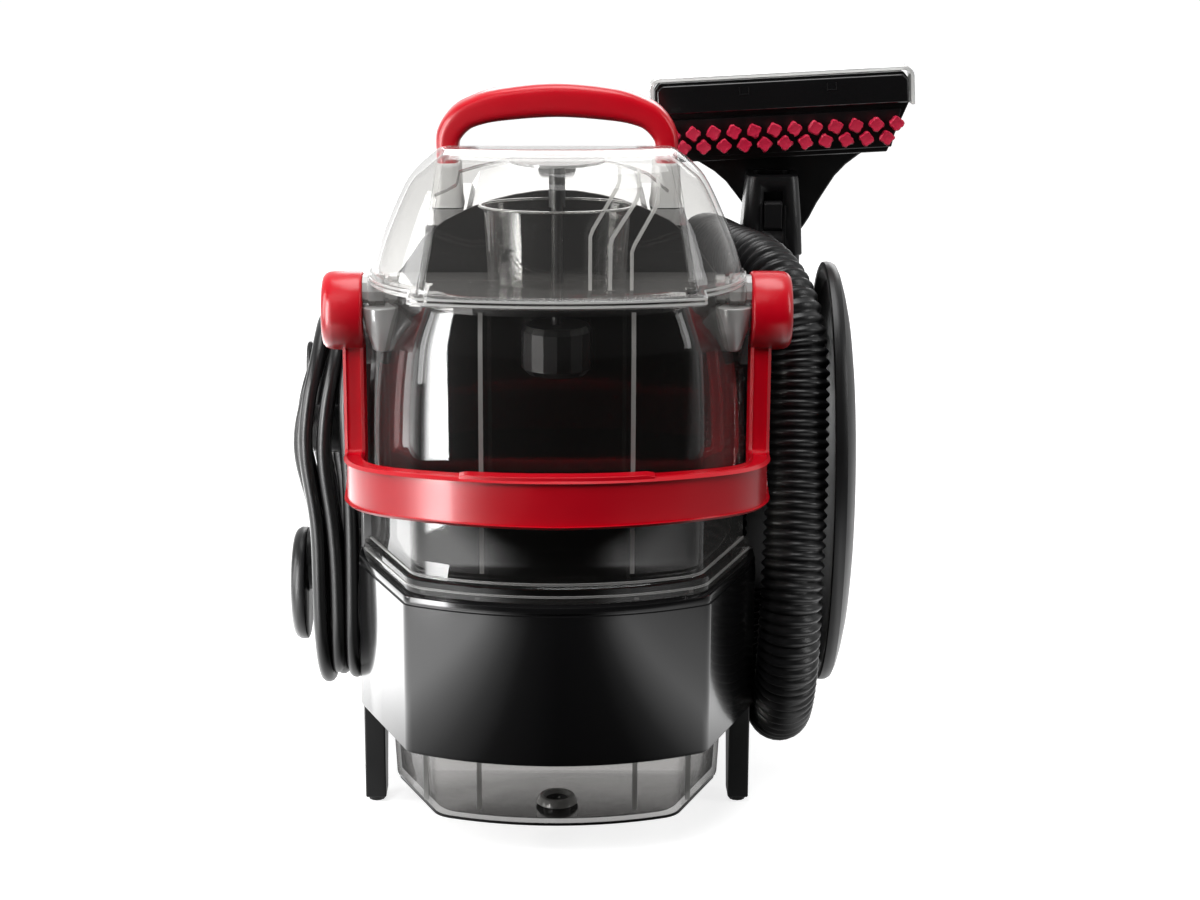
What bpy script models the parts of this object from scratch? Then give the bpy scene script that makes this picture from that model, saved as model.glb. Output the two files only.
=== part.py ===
"""A portable spot extractor: clear front tank, red bail, side hose rack and brush tool.

Metres, +Z up, the front faces -Y. The origin is under the middle of the base tray's sump.
"""

import math

import bmesh
import bpy
from mathutils import Vector

GAP = 0.0003  # running gap between neighbouring pieces
WALL = 0.003  # moulded housing wall
CLEAR_WALL = 0.0025  # moulded tank wall

# Base
BASE_HALF_WIDTH = 0.1045
RUNNER_WIDTH = 0.0112
LEG_FRONT = -0.070
BASE_REAR = 0.182
PAN_LOW, PAN_TOP = 0.045, 0.050
SUMP_LOW = 0.002
SUMP_HALF_WIDTH, SUMP_FRONT, SUMP_REAR = 0.060, -0.012, 0.170
FOOT_HEIGHT = 0.003
BAND_LOW, BAND_TOP = 0.062, 0.146
BAND_FRONT = -0.170

# Housing
HOUSING_HALF_WIDTH = 0.068
HOUSING_FRONT, HOUSING_REAR = -0.0687, 0.078
HOUSING_TOP = 0.298
PANEL_FRONT = -0.072

# Recovery tank and its lid
TANK_REAR = -0.0755
TANK_HALF_WIDTH = 0.0975
TANK_FRONT = -0.165
TANK_LOW = 0.020
TANK_RIM = 0.293
LID_LOW = TANK_RIM + 0.0008
LID_TOP = 0.361
SIDE_START = -0.083  # where the tank's straight sides turn into its curved front
FLOAT_Y = -0.105

# Bail
PIVOT = Vector((0, -0.090, 0.279))
BAIL_IN, BAIL_OUT = 0.0985, 0.1090
BLOCK_OUT, BLOCK_RADIUS = 0.119, 0.020
PIN_RADIUS = 0.0040

# Carry handle
HANDLE_HALF_WIDTH = 0.0588
HANDLE_FOOT = 0.3195
HANDLE_CROWN = 0.3760

# Clean tank
CLEAN_HALF_WIDTH = 0.066
CLEAN_FRONT, CLEAN_REAR = 0.0815, 0.185
CLEAN_LOW, CLEAN_TOP = 0.0535, 0.305
VALVE = Vector((0, 0.130, 0))

# Hose, rack and handpiece
HOSE_RADIUS = 0.0168
RACK_CENTRE = Vector((0, 0, 0.1686))
RACK_HALF_DEPTH, RACK_HALF_HEIGHT = 0.085, 0.1183
RACK_IN, RACK_OUT = 0.1455, 0.1605
HUB_CENTRE = Vector((0, 0.010, 0.178))
GRIP = Vector((0.1225, 0.075, 0))
GRIP_LOW, GRIP_TOP = 0.140, 0.280
NECK_TOP = 0.326
TOOL_TILT = math.radians(3)
TOOL_CENTRE = Vector((0.1270, 0.075, 0.360))
TOOL_HALF_WIDTH = 0.0713

# Cord
CORD_RADIUS = 0.00375
CORD_LOOP = Vector((0, -0.010, 0.1565))
CORD_LOOP_HALF = 0.05625

COLOURS = {
    "black": ((0.012, 0.012, 0.013), 0.28, 0.0),
    "red": ((0.50, 0.003, 0.012), 0.25, 0.0),
    "smoke": ((0.22, 0.21, 0.20), 0.10, 0.0),
    "clear": ((0.75, 0.76, 0.76), 0.08, 0.0),
    "rubber": ((0.015, 0.015, 0.015), 0.70, 0.0),
    "steel": ((0.55, 0.55, 0.56), 0.30, 1.0),
    "grey": ((0.30, 0.31, 0.32), 0.45, 0.0),
    "bristle": ((0.50, 0.010, 0.045), 0.60, 0.0),
}


# --- helpers -------------------------------------------------------------------------------------


def clear_scene():
    for obj in list(bpy.data.objects):
        bpy.data.objects.remove(obj)


def material(name, colour):
    base, roughness, metallic = COLOURS[colour]
    made = bpy.data.materials.new(name)
    made.use_nodes = True
    shader = made.node_tree.nodes["Principled BSDF"]
    shader.inputs["Base Color"].default_value = (*base, 1)
    shader.inputs["Roughness"].default_value = roughness
    shader.inputs["Metallic"].default_value = metallic
    return made


def node(name, mesh, colour, origin=(0, 0, 0)):
    """An object for the bmesh, with its origin at the given point."""
    bmesh.ops.recalc_face_normals(mesh, faces=mesh.faces)
    bmesh.ops.translate(mesh, verts=mesh.verts, vec=-Vector(origin))
    data = bpy.data.meshes.new(name)
    mesh.to_mesh(data)
    mesh.free()
    data.shade_smooth()
    data.set_sharp_from_angle(angle=math.radians(35))
    obj = bpy.data.objects.new(name, data)
    obj.location = origin
    if colour:
        data.materials.append(material(name, colour))
    bpy.context.collection.objects.link(obj)
    return obj


def loft(rings, closed=False):
    """A body through rings of equal point counts: end caps, or joined end to end when closed."""
    mesh = bmesh.new()
    rows = [[mesh.verts.new(point) for point in ring] for ring in rings]
    pairs = list(zip(rows, rows[1:]))
    if closed:
        pairs.append((rows[-1], rows[0]))
    for low, high in pairs:
        count = len(low)
        for i in range(count):
            j = (i + 1) % count
            mesh.faces.new((low[i], low[j], high[j], high[i]))
    if not closed:
        mesh.faces.new(rows[0][::-1])
        mesh.faces.new(rows[-1])
    return mesh


def box(low, high):
    mesh = bmesh.new()
    bmesh.ops.create_cube(mesh, size=1)
    low, high = Vector(low), Vector(high)
    bmesh.ops.scale(mesh, verts=mesh.verts, vec=high - low)
    bmesh.ops.translate(mesh, verts=mesh.verts, vec=(low + high) / 2)
    return mesh


def circle(centre, radius, axis="Z", count=16, radius_2=None):
    """A ring of points round the axis, from +Y or +X towards the next axis."""
    ring = []
    for i in range(count):
        angle = 2 * math.pi * i / count
        a, b = radius * math.cos(angle), (radius_2 or radius) * math.sin(angle)
        offset = {"X": (0, a, b), "Y": (a, 0, b), "Z": (a, b, 0)}[axis]
        ring.append(Vector(centre) + Vector(offset))
    return ring


def along(centre, axis, distance):
    moved = Vector(centre)
    moved["XYZ".index(axis)] = distance
    return moved


def turned(centre, axis, profile, count=16, closed=False):
    """A turned body: profile holds (distance along the axis, radius) pairs."""
    return loft([circle(along(centre, axis, d), r, axis, count) for d, r in profile], closed)


def tube(centre, axis, low, high, outer, inner, count=16):
    profile = [(low, outer), (high, outer), (high, inner), (low, inner)]
    return turned(centre, axis, profile, count, closed=True)


def rounded_rect(x_half, y_low, y_high, z, radius, x_mid=0.0, steps=3):
    """A rounded rectangle at height z, as a ring of points."""
    ring = []
    corners = (
        (x_mid + x_half - radius, y_high - radius, 0),
        (x_mid - x_half + radius, y_high - radius, 90),
        (x_mid - x_half + radius, y_low + radius, 180),
        (x_mid + x_half - radius, y_low + radius, 270),
    )
    for x, y, start in corners:
        for step in range(steps + 1):
            angle = math.radians(start + 90 * step / steps)
            ring.append(Vector((x + radius * math.cos(angle), y + radius * math.sin(angle), z)))
    return ring


def prism(outline, axis, low, high):
    """A prism along the axis from an outline of (first, second) pairs in the other two axes."""
    ends = []
    for distance in (low, high):
        ring = []
        for a, b in outline:
            place = {"X": (distance, a, b), "Y": (a, distance, b), "Z": (a, b, distance)}[axis]
            ring.append(Vector(place))
        ends.append(ring)
    return loft(ends)


def mirrored(outline):
    """An outline given for x > 0, completed on the other side of the middle plane."""
    return outline + [(-x, z) for x, z in reversed(outline) if x > 1e-6]


def smooth_path(points, per_span):
    """A Catmull-Rom curve through the points, which it passes through exactly."""
    points = [Vector(p) for p in points]
    padded = [2 * points[0] - points[1], *points, 2 * points[-1] - points[-2]]
    path = []
    for before, start, end, after in zip(padded, padded[1:], padded[2:], padded[3:]):
        for step in range(per_span):
            t = step / per_span
            path.append(0.5 * (
                2 * start + (end - before) * t
                + (2 * before - 5 * start + 4 * end - after) * t**2
                + (3 * start - before - 3 * end + after) * t**3
            ))
    return path + [points[-1]]


def spaced(path, gap):
    """Points along the path at equal steps of about the given gap."""
    lengths = [0.0]
    for a, b in zip(path, path[1:]):
        lengths.append(lengths[-1] + (b - a).length)
    count = max(2, round(lengths[-1] / gap))
    found, k = [], 0
    for i in range(count + 1):
        target = lengths[-1] * i / count
        while k < len(path) - 2 and lengths[k + 1] < target:
            k += 1
        share = (target - lengths[k]) / (lengths[k + 1] - lengths[k])
        found.append(path[k].lerp(path[k + 1], share))
    return found


def cutter(name, mesh):
    obj = node(name, mesh, None)
    obj.hide_render = True
    obj.display_type = "WIRE"
    return obj


def boolean(obj, operation, tool):
    modifier = obj.modifiers.new(tool.name, "BOOLEAN")
    modifier.operation = operation
    modifier.solver = "EXACT"
    modifier.object = tool
    modifier.object.parent = obj
    modifier.object.matrix_parent_inverse = obj.matrix_basis.inverted()


def cut(obj, mesh):
    boolean(obj, "DIFFERENCE", cutter(f"cut_{obj.name}_{len(obj.modifiers)}", mesh))


def add(obj, mesh):
    boolean(obj, "UNION", cutter(f"add_{obj.name}_{len(obj.modifiers)}", mesh))


# --- base ----------------------------------------------------------------------------------------


def base_tray():
    """The floor plate under the housing, with a tub that hangs down as the sump."""
    plate = BASE_HALF_WIDTH - RUNNER_WIDTH - GAP
    half, front, rear = SUMP_HALF_WIDTH, SUMP_FRONT, SUMP_REAR
    rings = [
        rounded_rect(half - 0.002, front + 0.002, rear - 0.002, SUMP_LOW, 0.010),
        rounded_rect(half, front, rear, SUMP_LOW + 0.002, 0.012),
        rounded_rect(half, front, rear, PAN_LOW, 0.012),
        rounded_rect(plate, LEG_FRONT + 0.001, BASE_REAR, PAN_LOW, 0.012),
        rounded_rect(plate, LEG_FRONT + 0.001, BASE_REAR, PAN_TOP, 0.012),
        rounded_rect(half - WALL, front + WALL, rear - WALL, PAN_TOP, 0.009),
        rounded_rect(half - WALL, front + WALL, rear - WALL, SUMP_LOW + WALL, 0.009),
    ]
    node("base_tray", loft(rings), "black")


def runners():
    """Side rails: a front leg, an arch and a rear skid in one moulding."""
    foot, arch = FOOT_HEIGHT + GAP, 0.038
    post, beam = LEG_FRONT + 0.0035, PAN_TOP + 0.0015
    outline = [
        (LEG_FRONT, foot), (LEG_FRONT + 0.016, foot), (LEG_FRONT + 0.024, arch - 0.006),
        (LEG_FRONT + 0.034, arch), (0.128, arch), (0.138, arch - 0.006), (0.146, foot),
        (BASE_REAR, foot), (BASE_REAR, beam), (post, beam), (post, BAND_TOP), (LEG_FRONT, BAND_TOP),
    ]
    for side, sign in (("left", -1), ("right", 1)):
        low, high = sorted((sign * (BASE_HALF_WIDTH - RUNNER_WIDTH), sign * BASE_HALF_WIDTH))
        node(f"{side}_runner", prism(outline, "X", low, high), "black")
        for end, y in (("front", LEG_FRONT + 0.008), ("rear", 0.165)):
            centre = (sign * (BASE_HALF_WIDTH - RUNNER_WIDTH / 2), y, 0)
            profile = [(0, 0.0045), (FOOT_HEIGHT * 0.6, 0.005), (FOOT_HEIGHT, 0.005)]
            node(f"foot_{end}_{side}", turned(centre, "Z", profile, 12), "rubber")


def faceted_front(half, front, fillet):
    """Half of a front in plan: from the side, along a facet and round its corner, then an arc."""
    radius, corner = 0.160, 0.73 * half
    side = Vector((half, SIDE_START))

    def on_arc(x):
        return Vector((x, front + radius - math.sqrt(radius**2 - x**2)))

    edge, before, after = on_arc(corner), on_arc(corner).lerp(side, fillet), on_arc(corner * (1 - fillet))
    points = [side]
    for step in range(4):
        t = step / 3
        points.append(before.lerp(edge, t).lerp(edge.lerp(after, t), t))
    points += [on_arc(after.x * (1 - step / 4)) for step in range(1, 5)]
    return [(p.x, p.y) for p in points]


def band_path():
    """The front band's outer face in plan, from one leg round the front to the other."""
    half = [(BASE_HALF_WIDTH, LEG_FRONT - GAP), *faceted_front(BASE_HALF_WIDTH, BAND_FRONT, 0.04)]
    points = half + [(-x, y) for x, y in reversed(half[:-1])]
    return [Vector((x, y, 0)) for x, y in points]


def front_band():
    """A U-shaped band whose inward top lip carries the tank's ring."""
    path = band_path()
    lip, thickness, lip_height = 0.0085, 0.0035, 0.003
    profile = [
        (0, BAND_LOW + 0.002), (0, BAND_TOP - 0.001), (0.001, BAND_TOP), (lip, BAND_TOP),
        (lip, BAND_TOP - lip_height), (thickness, BAND_TOP - lip_height), (thickness, BAND_LOW),
        (0.001, BAND_LOW),
    ]
    rings = []
    for i, point in enumerate(path):
        before, after = path[max(i - 1, 0)], path[min(i + 1, len(path) - 1)]
        first = (point - before).normalized() if i else (after - point).normalized()
        last = (after - point).normalized() if i < len(path) - 1 else first
        tangent = (first + last).normalized()
        inward = Vector((tangent.y, -tangent.x, 0)) / max(0.5, tangent.dot(first))
        rings.append([point + inward * d + Vector((0, 0, z)) for d, z in profile])
    node("front_band", loft(rings), "black")


# --- housing -------------------------------------------------------------------------------------


def housing():
    low = PAN_TOP + GAP
    half, front, rear = HOUSING_HALF_WIDTH, HOUSING_FRONT, HOUSING_REAR
    outer = [rounded_rect(half, front, rear, z, 0.008) for z in (low, HOUSING_TOP)]
    inner = [
        rounded_rect(half - WALL, front + WALL, rear - WALL, z, 0.005)
        for z in (HOUSING_TOP, low)
    ]
    node("motor_housing", loft(outer + inner, closed=True), "black")

    arch = [
        (0.088, low), (0.088, 0.285), (0.080, 0.297), (0.069, 0.313), (0.045, 0.3285),
        (0.022, 0.3355), (0, 0.338),
    ]
    node("rear_panel", prism(mirrored(arch), "Y", PANEL_FRONT, PANEL_FRONT + WALL), "black")

    cover_low = HOUSING_TOP + GAP
    shoulder = HANDLE_FOOT - GAP
    outline = [
        (half, cover_low), (half, shoulder), (0.0485, shoulder), (0.044, 0.3265),
        (0.022, 0.3315), (0, 0.333),
    ]
    cover = node("top_cover", prism(mirrored(outline), "Y", front, rear), "black")
    inside = [
        (half - WALL, cover_low - WALL), (half - WALL, shoulder - WALL),
        (0.0465, shoulder - WALL), (0.043, 0.3237), (0.022, 0.3285), (0, 0.330),
    ]
    cut(cover, prism(mirrored(inside), "Y", front - WALL, rear - WALL))
    cut(cover, turned((0, 0.052, 0), "Z", [(0.310, 0.0113), (0.345, 0.0113)]))
    for i in range(5):
        x = 0.012 * (i - 2)
        cut(cover, box((x - 0.002, rear - 0.005, 0.304), (x + 0.002, rear + 0.005, 0.316)))


def power_switch():
    y = 0.052
    profile = [(0.320, 0.0125), (0.3225, 0.0125), (0.3225, 0.0108), (0.3365, 0.0108), (0.338, 0.0095)]
    node("power_button", turned((0, y, 0), "Z", profile), "grey", (0, y, 0.3365))
    node("button_spring", tube((0, y, 0), "Z", 0.3095, 0.3197, 0.0060, 0.0048, 12), "steel")
    node("power_switch", box((-0.012, y - 0.010, 0.288), (0.012, y + 0.010, 0.309)), "grey")


def carry_handle():
    """An arch that stands on the cover's two shoulders, thickest at its crown."""
    half, foot, crown = HANDLE_HALF_WIDTH, HANDLE_FOOT, HANDLE_CROWN
    rows = [
        (-half, foot, 0.0058), (-half, 0.3330, 0.0058), (-half, 0.3460, 0.0060), (-0.0578, 0.3575, 0.0068),
        (-0.0520, 0.3655, 0.0074), (-0.0440, 0.3699, 0.0078), (-0.0295, 0.3736, 0.0087), (0, crown, 0.0091),
    ]
    rows += [(-x, z, thick) for x, z, thick in reversed(rows[:-1])]
    rings = []
    for i, (x, z, thick) in enumerate(rows):
        before, after = rows[max(i - 1, 0)], rows[min(i + 1, len(rows) - 1)]
        tangent = Vector((after[0] - before[0], 0, after[1] - before[1])).normalized()
        outward = Vector((-tangent.z, 0, tangent.x))
        section = []
        for corner in range(12):
            angle = 2 * math.pi * (corner + 0.5) / 12
            c, s = math.cos(angle), math.sin(angle)
            u = thick * math.copysign(abs(c) ** 0.5, c)
            v = 0.0120 * math.copysign(abs(s) ** 0.5, s)
            section.append(Vector((x, 0, z)) + outward * u + Vector((0, v, 0)))
        rings.append(section)
    node("carry_handle", loft(rings), "red")
    for side, x in (("left", -half), ("right", half)):
        low = HANDLE_FOOT - GAP - WALL
        profile = [(low - 0.0025, 0.004), (low - GAP, 0.004)]
        node(f"handle_screw_{side}", turned((x, 0, 0), "Z", profile, 12), "steel")


def fan_and_motor():
    y = 0.004
    centre = (0, y, 0)
    node("fan_housing", loft([
        circle((0, y, 0.128), 0.055), circle((0, y, 0.168), 0.055),
        circle((0, y, 0.168), 0.0525), circle((0, y, 0.1305), 0.0525),
        circle((0, y, 0.1305), 0.016), circle((0, y, 0.128), 0.016),
    ], closed=True), "grey")
    profile = [(0.1335, 0.048), (0.1355, 0.048), (0.1355, 0.014), (0.155, 0.014), (0.155, 0.0042),
               (0.1700, 0.0042)]
    node("impeller", turned(centre, "Z", profile), "steel", (0, y, 0.144))
    for i in range(6):
        angle = math.radians(60 * i)
        blade = box((0.0130, -0.0012, 0.1350), (0.0470, 0.0012, 0.1520))
        turn = Vector((math.cos(angle), math.sin(angle), 0))
        for vert in blade.verts:
            x, across = vert.co.x, vert.co.y
            vert.co.x, vert.co.y = turn.x * x - turn.y * across, turn.y * x + turn.x * across
        bmesh.ops.translate(blade, verts=blade.verts, vec=(0, y, 0))
        add(bpy.data.objects["impeller"], blade)
    body = [(0.1705, 0.052), (0.1740, 0.052), (0.1740, 0.040), (0.2350, 0.040), (0.2350, 0.030),
            (0.2500, 0.026)]
    node("vacuum_motor", turned(centre, "Z", body), "grey")


def pump():
    node("pump_body", box((-0.040, -0.045, 0.054), (0.010, 0.005, 0.094)), "grey")
    route = [(-0.015, 0.0053, 0.070), (-0.014, 0.040, 0.069), (-0.010, 0.0743, 0.070)]
    curve("pump_tube", smooth_path(route, 4), 0.0040, "clear", 2)


# --- recovery tank, lid and bail -----------------------------------------------------------------


def front_curve(half, front, start, exponent, x_from, x_to, steps):
    """Points on a squarish front curve between two widths, from the side to the middle."""
    angles = [math.acos(min(1, (x / half) ** (exponent / 2))) for x in (x_from, x_to)]
    points = []
    for step in range(steps + 1):
        angle = angles[0] + (angles[1] - angles[0]) * step / steps
        x = half * math.cos(angle) ** (2 / exponent) if angle < math.pi / 2 - 1e-9 else 0.0
        y = start + (front - start) * math.sin(angle) ** (2 / exponent)
        points.append((x, y))
    return points


def ring_of(half_outline, z):
    """A closed ring at height z from an outline that runs from the rear corner to x = 0."""
    points = list(half_outline)
    points += [(-x, y) for x, y in reversed(half_outline) if x > 1e-6]
    return [Vector((x, y, z)) for x, y in points]


def tank_ring(z, half, front, rear=TANK_REAR):
    curve_points = faceted_front(half, front, 0.30)
    back = [(0, rear), (half * 0.25, rear), (half - 0.004, rear), (half, rear - 0.004)]
    return ring_of(back + curve_points, z)


def recovery_tank():
    outside = [
        (TANK_LOW, 0.082, -0.145), (0.024, 0.086, -0.149), (0.062, 0.088, -0.152),
        (BAND_TOP + GAP, 0.0920, -0.157), (BAND_TOP + GAP, 0.1010, -0.1665),
        (0.1545, 0.1010, -0.1665), (0.1555, TANK_HALF_WIDTH, -0.1640),
        (0.200, TANK_HALF_WIDTH, TANK_FRONT), (0.240, 0.0965, TANK_FRONT),
        (0.270, 0.0935, -0.1640), (0.284, 0.0885, -0.1610), (TANK_RIM, 0.0840, -0.1580),
    ]
    inside = [
        (TANK_RIM, 0.0815, -0.1555), (0.284, 0.0860, -0.1585), (0.270, 0.0910, -0.1615),
        (0.240, 0.0940, -0.1625), (0.200, 0.0950, -0.1625), (0.158, 0.0950, -0.1615),
        (0.144, 0.0893, -0.1545), (0.062, 0.0855, -0.1495), (0.0265, 0.0835, -0.1465),
        (TANK_LOW + CLEAR_WALL, 0.0795, -0.1425),
    ]
    ledge = 0.0990  # rings wider than this are the ledge, which also stands out at the rear
    rings = [
        tank_ring(z, half, front, TANK_REAR + (0.0008 if half > ledge else 0))
        for z, half, front in outside
    ]
    inner_rear = TANK_REAR - CLEAR_WALL
    rings += [tank_ring(z, half, front, inner_rear) for z, half, front in inside]
    tank = node("recovery_tank", loft(rings), "smoke")
    for sign in (-1, 1):
        boss = [(sign * 0.0870, 0.0135), (sign * (BAIL_IN - 0.0005), 0.0135)]
        add(tank, turned(PIVOT, "X", boss))
    for sign in (-1, 1):
        bore = [(sign * 0.0890, PIN_RADIUS + 0.0005), (sign * 0.1000, PIN_RADIUS + 0.0005)]
        cut(tank, turned(PIVOT, "X", bore, 12))
    cut(tank, turned((0, -0.120, 0), "Z", [(0.015, 0.0070), (0.030, 0.0070)]))
    plug = [
        (TANK_LOW - 0.0035, 0.0095), (TANK_LOW - GAP, 0.0110), (TANK_LOW - GAP, 0.0066),
        (TANK_LOW + 0.0045, 0.0066),
    ]
    node("drain_plug", turned((0, -0.120, 0), "Z", plug), "rubber")


def lid_ring(z, half, dome_front, box_half, box_front, rear=TANK_REAR):
    """The lid in plan: a dome at the sides with a box that stands out in front."""
    dome = front_curve(half, dome_front, SIDE_START, 2.3, half, box_half, 4)
    sag = 0.010
    front = [(box_half * (1 - i / 3), box_front + sag * (1 - i / 3) ** 2) for i in range(4)]
    back = [(0, rear), (half * 0.25, rear), (half - 0.003, rear), (half, rear - 0.003)]
    return ring_of(back + dome + front, z)


def tank_lid():
    outside = [
        (LID_TOP, 0.0575, -0.1120, 0.0560, -0.1190), (0.3595, 0.0610, -0.1160, 0.0585, -0.1220),
        (0.353, 0.0690, -0.1210, 0.0600, -0.1290), (0.343, 0.0770, -0.1270, 0.0615, -0.1360),
        (0.3195, 0.0878, -0.1380, 0.0650, -0.1490), (0.302, 0.0937, -0.1445, 0.0680, -0.1585),
        (0.2990, 0.0940, -0.1450, 0.0685, -0.1595), (0.2985, 0.0955, -0.1540, 0.0720, -0.1640),
        (LID_LOW, 0.0955, -0.1540, 0.0720, -0.1640),
    ]
    drop = CLEAR_WALL
    inside = [(LID_LOW, 0.0905, -0.1410, 0.0665, -0.1560)]
    for z, half, dome_front, box_half, box_front in reversed(outside[:6]):
        top = z - (drop if z > 0.350 else 0.0005)
        inside.append((top, half - drop, dome_front + drop, box_half - drop, box_front + drop))
    rings = [lid_ring(*row) for row in outside]
    rings += [lid_ring(*row, rear=TANK_REAR - CLEAR_WALL) for row in inside]
    node("tank_lid", loft(rings), "clear")


def lid_insides():
    gasket = [(0.2885, 0.0805, -0.1545), (0.2925, 0.0805, -0.1545), (0.2925, 0.0775, -0.1515),
              (0.2885, 0.0775, -0.1515)]
    rears = [TANK_REAR - 0.0035] * 2 + [TANK_REAR - 0.0065] * 2
    rings = [tank_ring(z, half, front, rear) for (z, half, front), rear in zip(gasket, rears)]
    node("lid_gasket", loft(rings, closed=True), "rubber")

    plate_rings = []
    hole = 0.0060
    for z in (0.2940, 0.2965):
        plate = lid_ring(z, 0.0860, -0.1350, 0.0640, -0.1530, TANK_REAR - 0.0035)
        bore = []
        for point in plate:
            spoke = Vector((point.x, point.y - FLOAT_Y, 0)).normalized() * hole
            bore.append(Vector((spoke.x, spoke.y + FLOAT_Y, z)))
        plate_rings += [plate, bore] if z < 0.295 else [bore, plate]
    rings = [plate_rings[0], plate_rings[3], plate_rings[2], plate_rings[1]]
    plate = node("baffle_plate", loft(rings, closed=True), "clear")
    for x, kink, x_top, kink_top, top in ((0.0163, 0.3253, 0.0290, 0.3372, 0.3380),
                                          (0.0262, 0.3215, 0.0390, 0.3364, 0.3380),
                                          (0.0368, 0.3177, 0.0485, 0.3345, 0.3380)):
        outline = [
            (x - 0.0010, 0.2958), (x - 0.0010, kink), (x_top - 0.0010, kink_top), (x_top - 0.0010, top),
            (x_top + 0.0010, top), (x_top + 0.0010, kink_top - 0.0006), (x + 0.0010, kink - 0.0006),
            (x + 0.0010, 0.2958),
        ]
        add(plate, prism(outline, "Y", -0.1290, -0.1262))

    centre = (0, FLOAT_Y, 0)
    low, top = 0.2965 + GAP, 0.3350
    rings = []
    for z, wide, deep in ((low, 0.0345, 0.0230), (0.3325, 0.0366, 0.0230), (top, 0.0384, 0.0230),
                          (top, 0.0366, 0.0212), (0.3325, 0.0348, 0.0212), (low, 0.0327, 0.0212)):
        rings.append(circle((0, FLOAT_Y, z), wide, "Z", 20, deep))
    node("separator_tower", loft(rings, closed=True), "clear")

    profile = [
        (0.2500, 0.0150), (0.2530, 0.0180), (0.2720, 0.0180), (0.2750, 0.0160),
        (0.2750, 0.0028), (0.3385, 0.0028),
    ]
    node("shutoff_float", turned(centre, "Z", profile), "black", (0, FLOAT_Y, 0.2750))


def bail_half():
    """Rings of the bail's x <= 0 half: down the arm, round its foot and out to the middle."""
    arm, thin = (BAIL_IN + BAIL_OUT) / 2, (BAIL_OUT - BAIL_IN) / 2
    bar_z, tall, deep, bend = 0.1957, 0.0118, 0.0100, 0.0128
    rings = []

    def ring(centre, side, up, half_up):
        soft = 0.0016
        rings.append([centre + side * (thin - inset) * u + up * (half_up - soft + inset) * v
                      for u, v, inset in ((1, -1, 0), (1, -1, soft), (-1, -1, soft), (-1, -1, 0),
                                          (-1, 1, 0), (-1, 1, soft), (1, 1, soft), (1, 1, 0))])

    left = Vector((-1, 0, 0))
    for z in (PIVOT.z, 0.220):
        ring(Vector((-arm, PIVOT.y, z)), left, Vector((0, 1, 0)), deep)
    for step in range(4):
        angle = math.radians(30 * step)
        centre = Vector((-arm, PIVOT.y - bend + bend * math.cos(angle),
                         bar_z + bend - bend * math.sin(angle)))
        ring(centre, left, Vector((0, math.cos(angle), -math.sin(angle))), deep + (tall - deep) * step / 3)
    outline = front_curve(arm, -0.1772, PIVOT.y - bend - 0.0005, 2.1, 0.1036, 0.0, 12)
    for i, (x, y) in enumerate(outline):
        before, after = outline[max(i - 1, 0)], outline[min(i + 1, len(outline) - 1)]
        tangent = Vector((before[0] - after[0], after[1] - before[1], 0)).normalized()
        side = Vector((tangent.y, -tangent.x, 0)) if x > 1e-6 else Vector((0, -1, 0))
        z = bar_z + 0.0062 * (1 - (x / arm) ** 4)
        ring(Vector((-x, y, z)), side, Vector((0, 0, -1)), tall + 0.0008 * (1 - x / arm))
    return rings


def bail_handle():
    half = bail_half()
    rings = half + [[Vector((-p.x, p.y, p.z)) for p in ring] for ring in reversed(half[:-1])]
    bail = node("bail_handle", loft(rings), "red", PIVOT)
    for sign in (-1, 1):
        block = [
            (sign * (BAIL_IN - 0.0001), BLOCK_RADIUS - 0.001), (sign * (BAIL_IN + 0.001), BLOCK_RADIUS),
            (sign * (BLOCK_OUT - 0.003), BLOCK_RADIUS), (sign * BLOCK_OUT, BLOCK_RADIUS - 0.003),
        ]
        add(bail, turned(PIVOT, "X", block, 24))
    for sign in (-1, 1):
        bore = [(sign * 0.0960, PIN_RADIUS + 0.0002), (sign * 0.1150, PIN_RADIUS + 0.0002)]
        cut(bail, turned(PIVOT, "X", bore, 12))
    for side, sign in (("left", -1), ("right", 1)):
        pin = [(sign * 0.0895, PIN_RADIUS), (sign * 0.1145, PIN_RADIUS)]
        node(f"bail_pin_{side}", turned(PIVOT, "X", pin, 12), "steel", PIVOT)


# --- clean tank ----------------------------------------------------------------------------------


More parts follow.
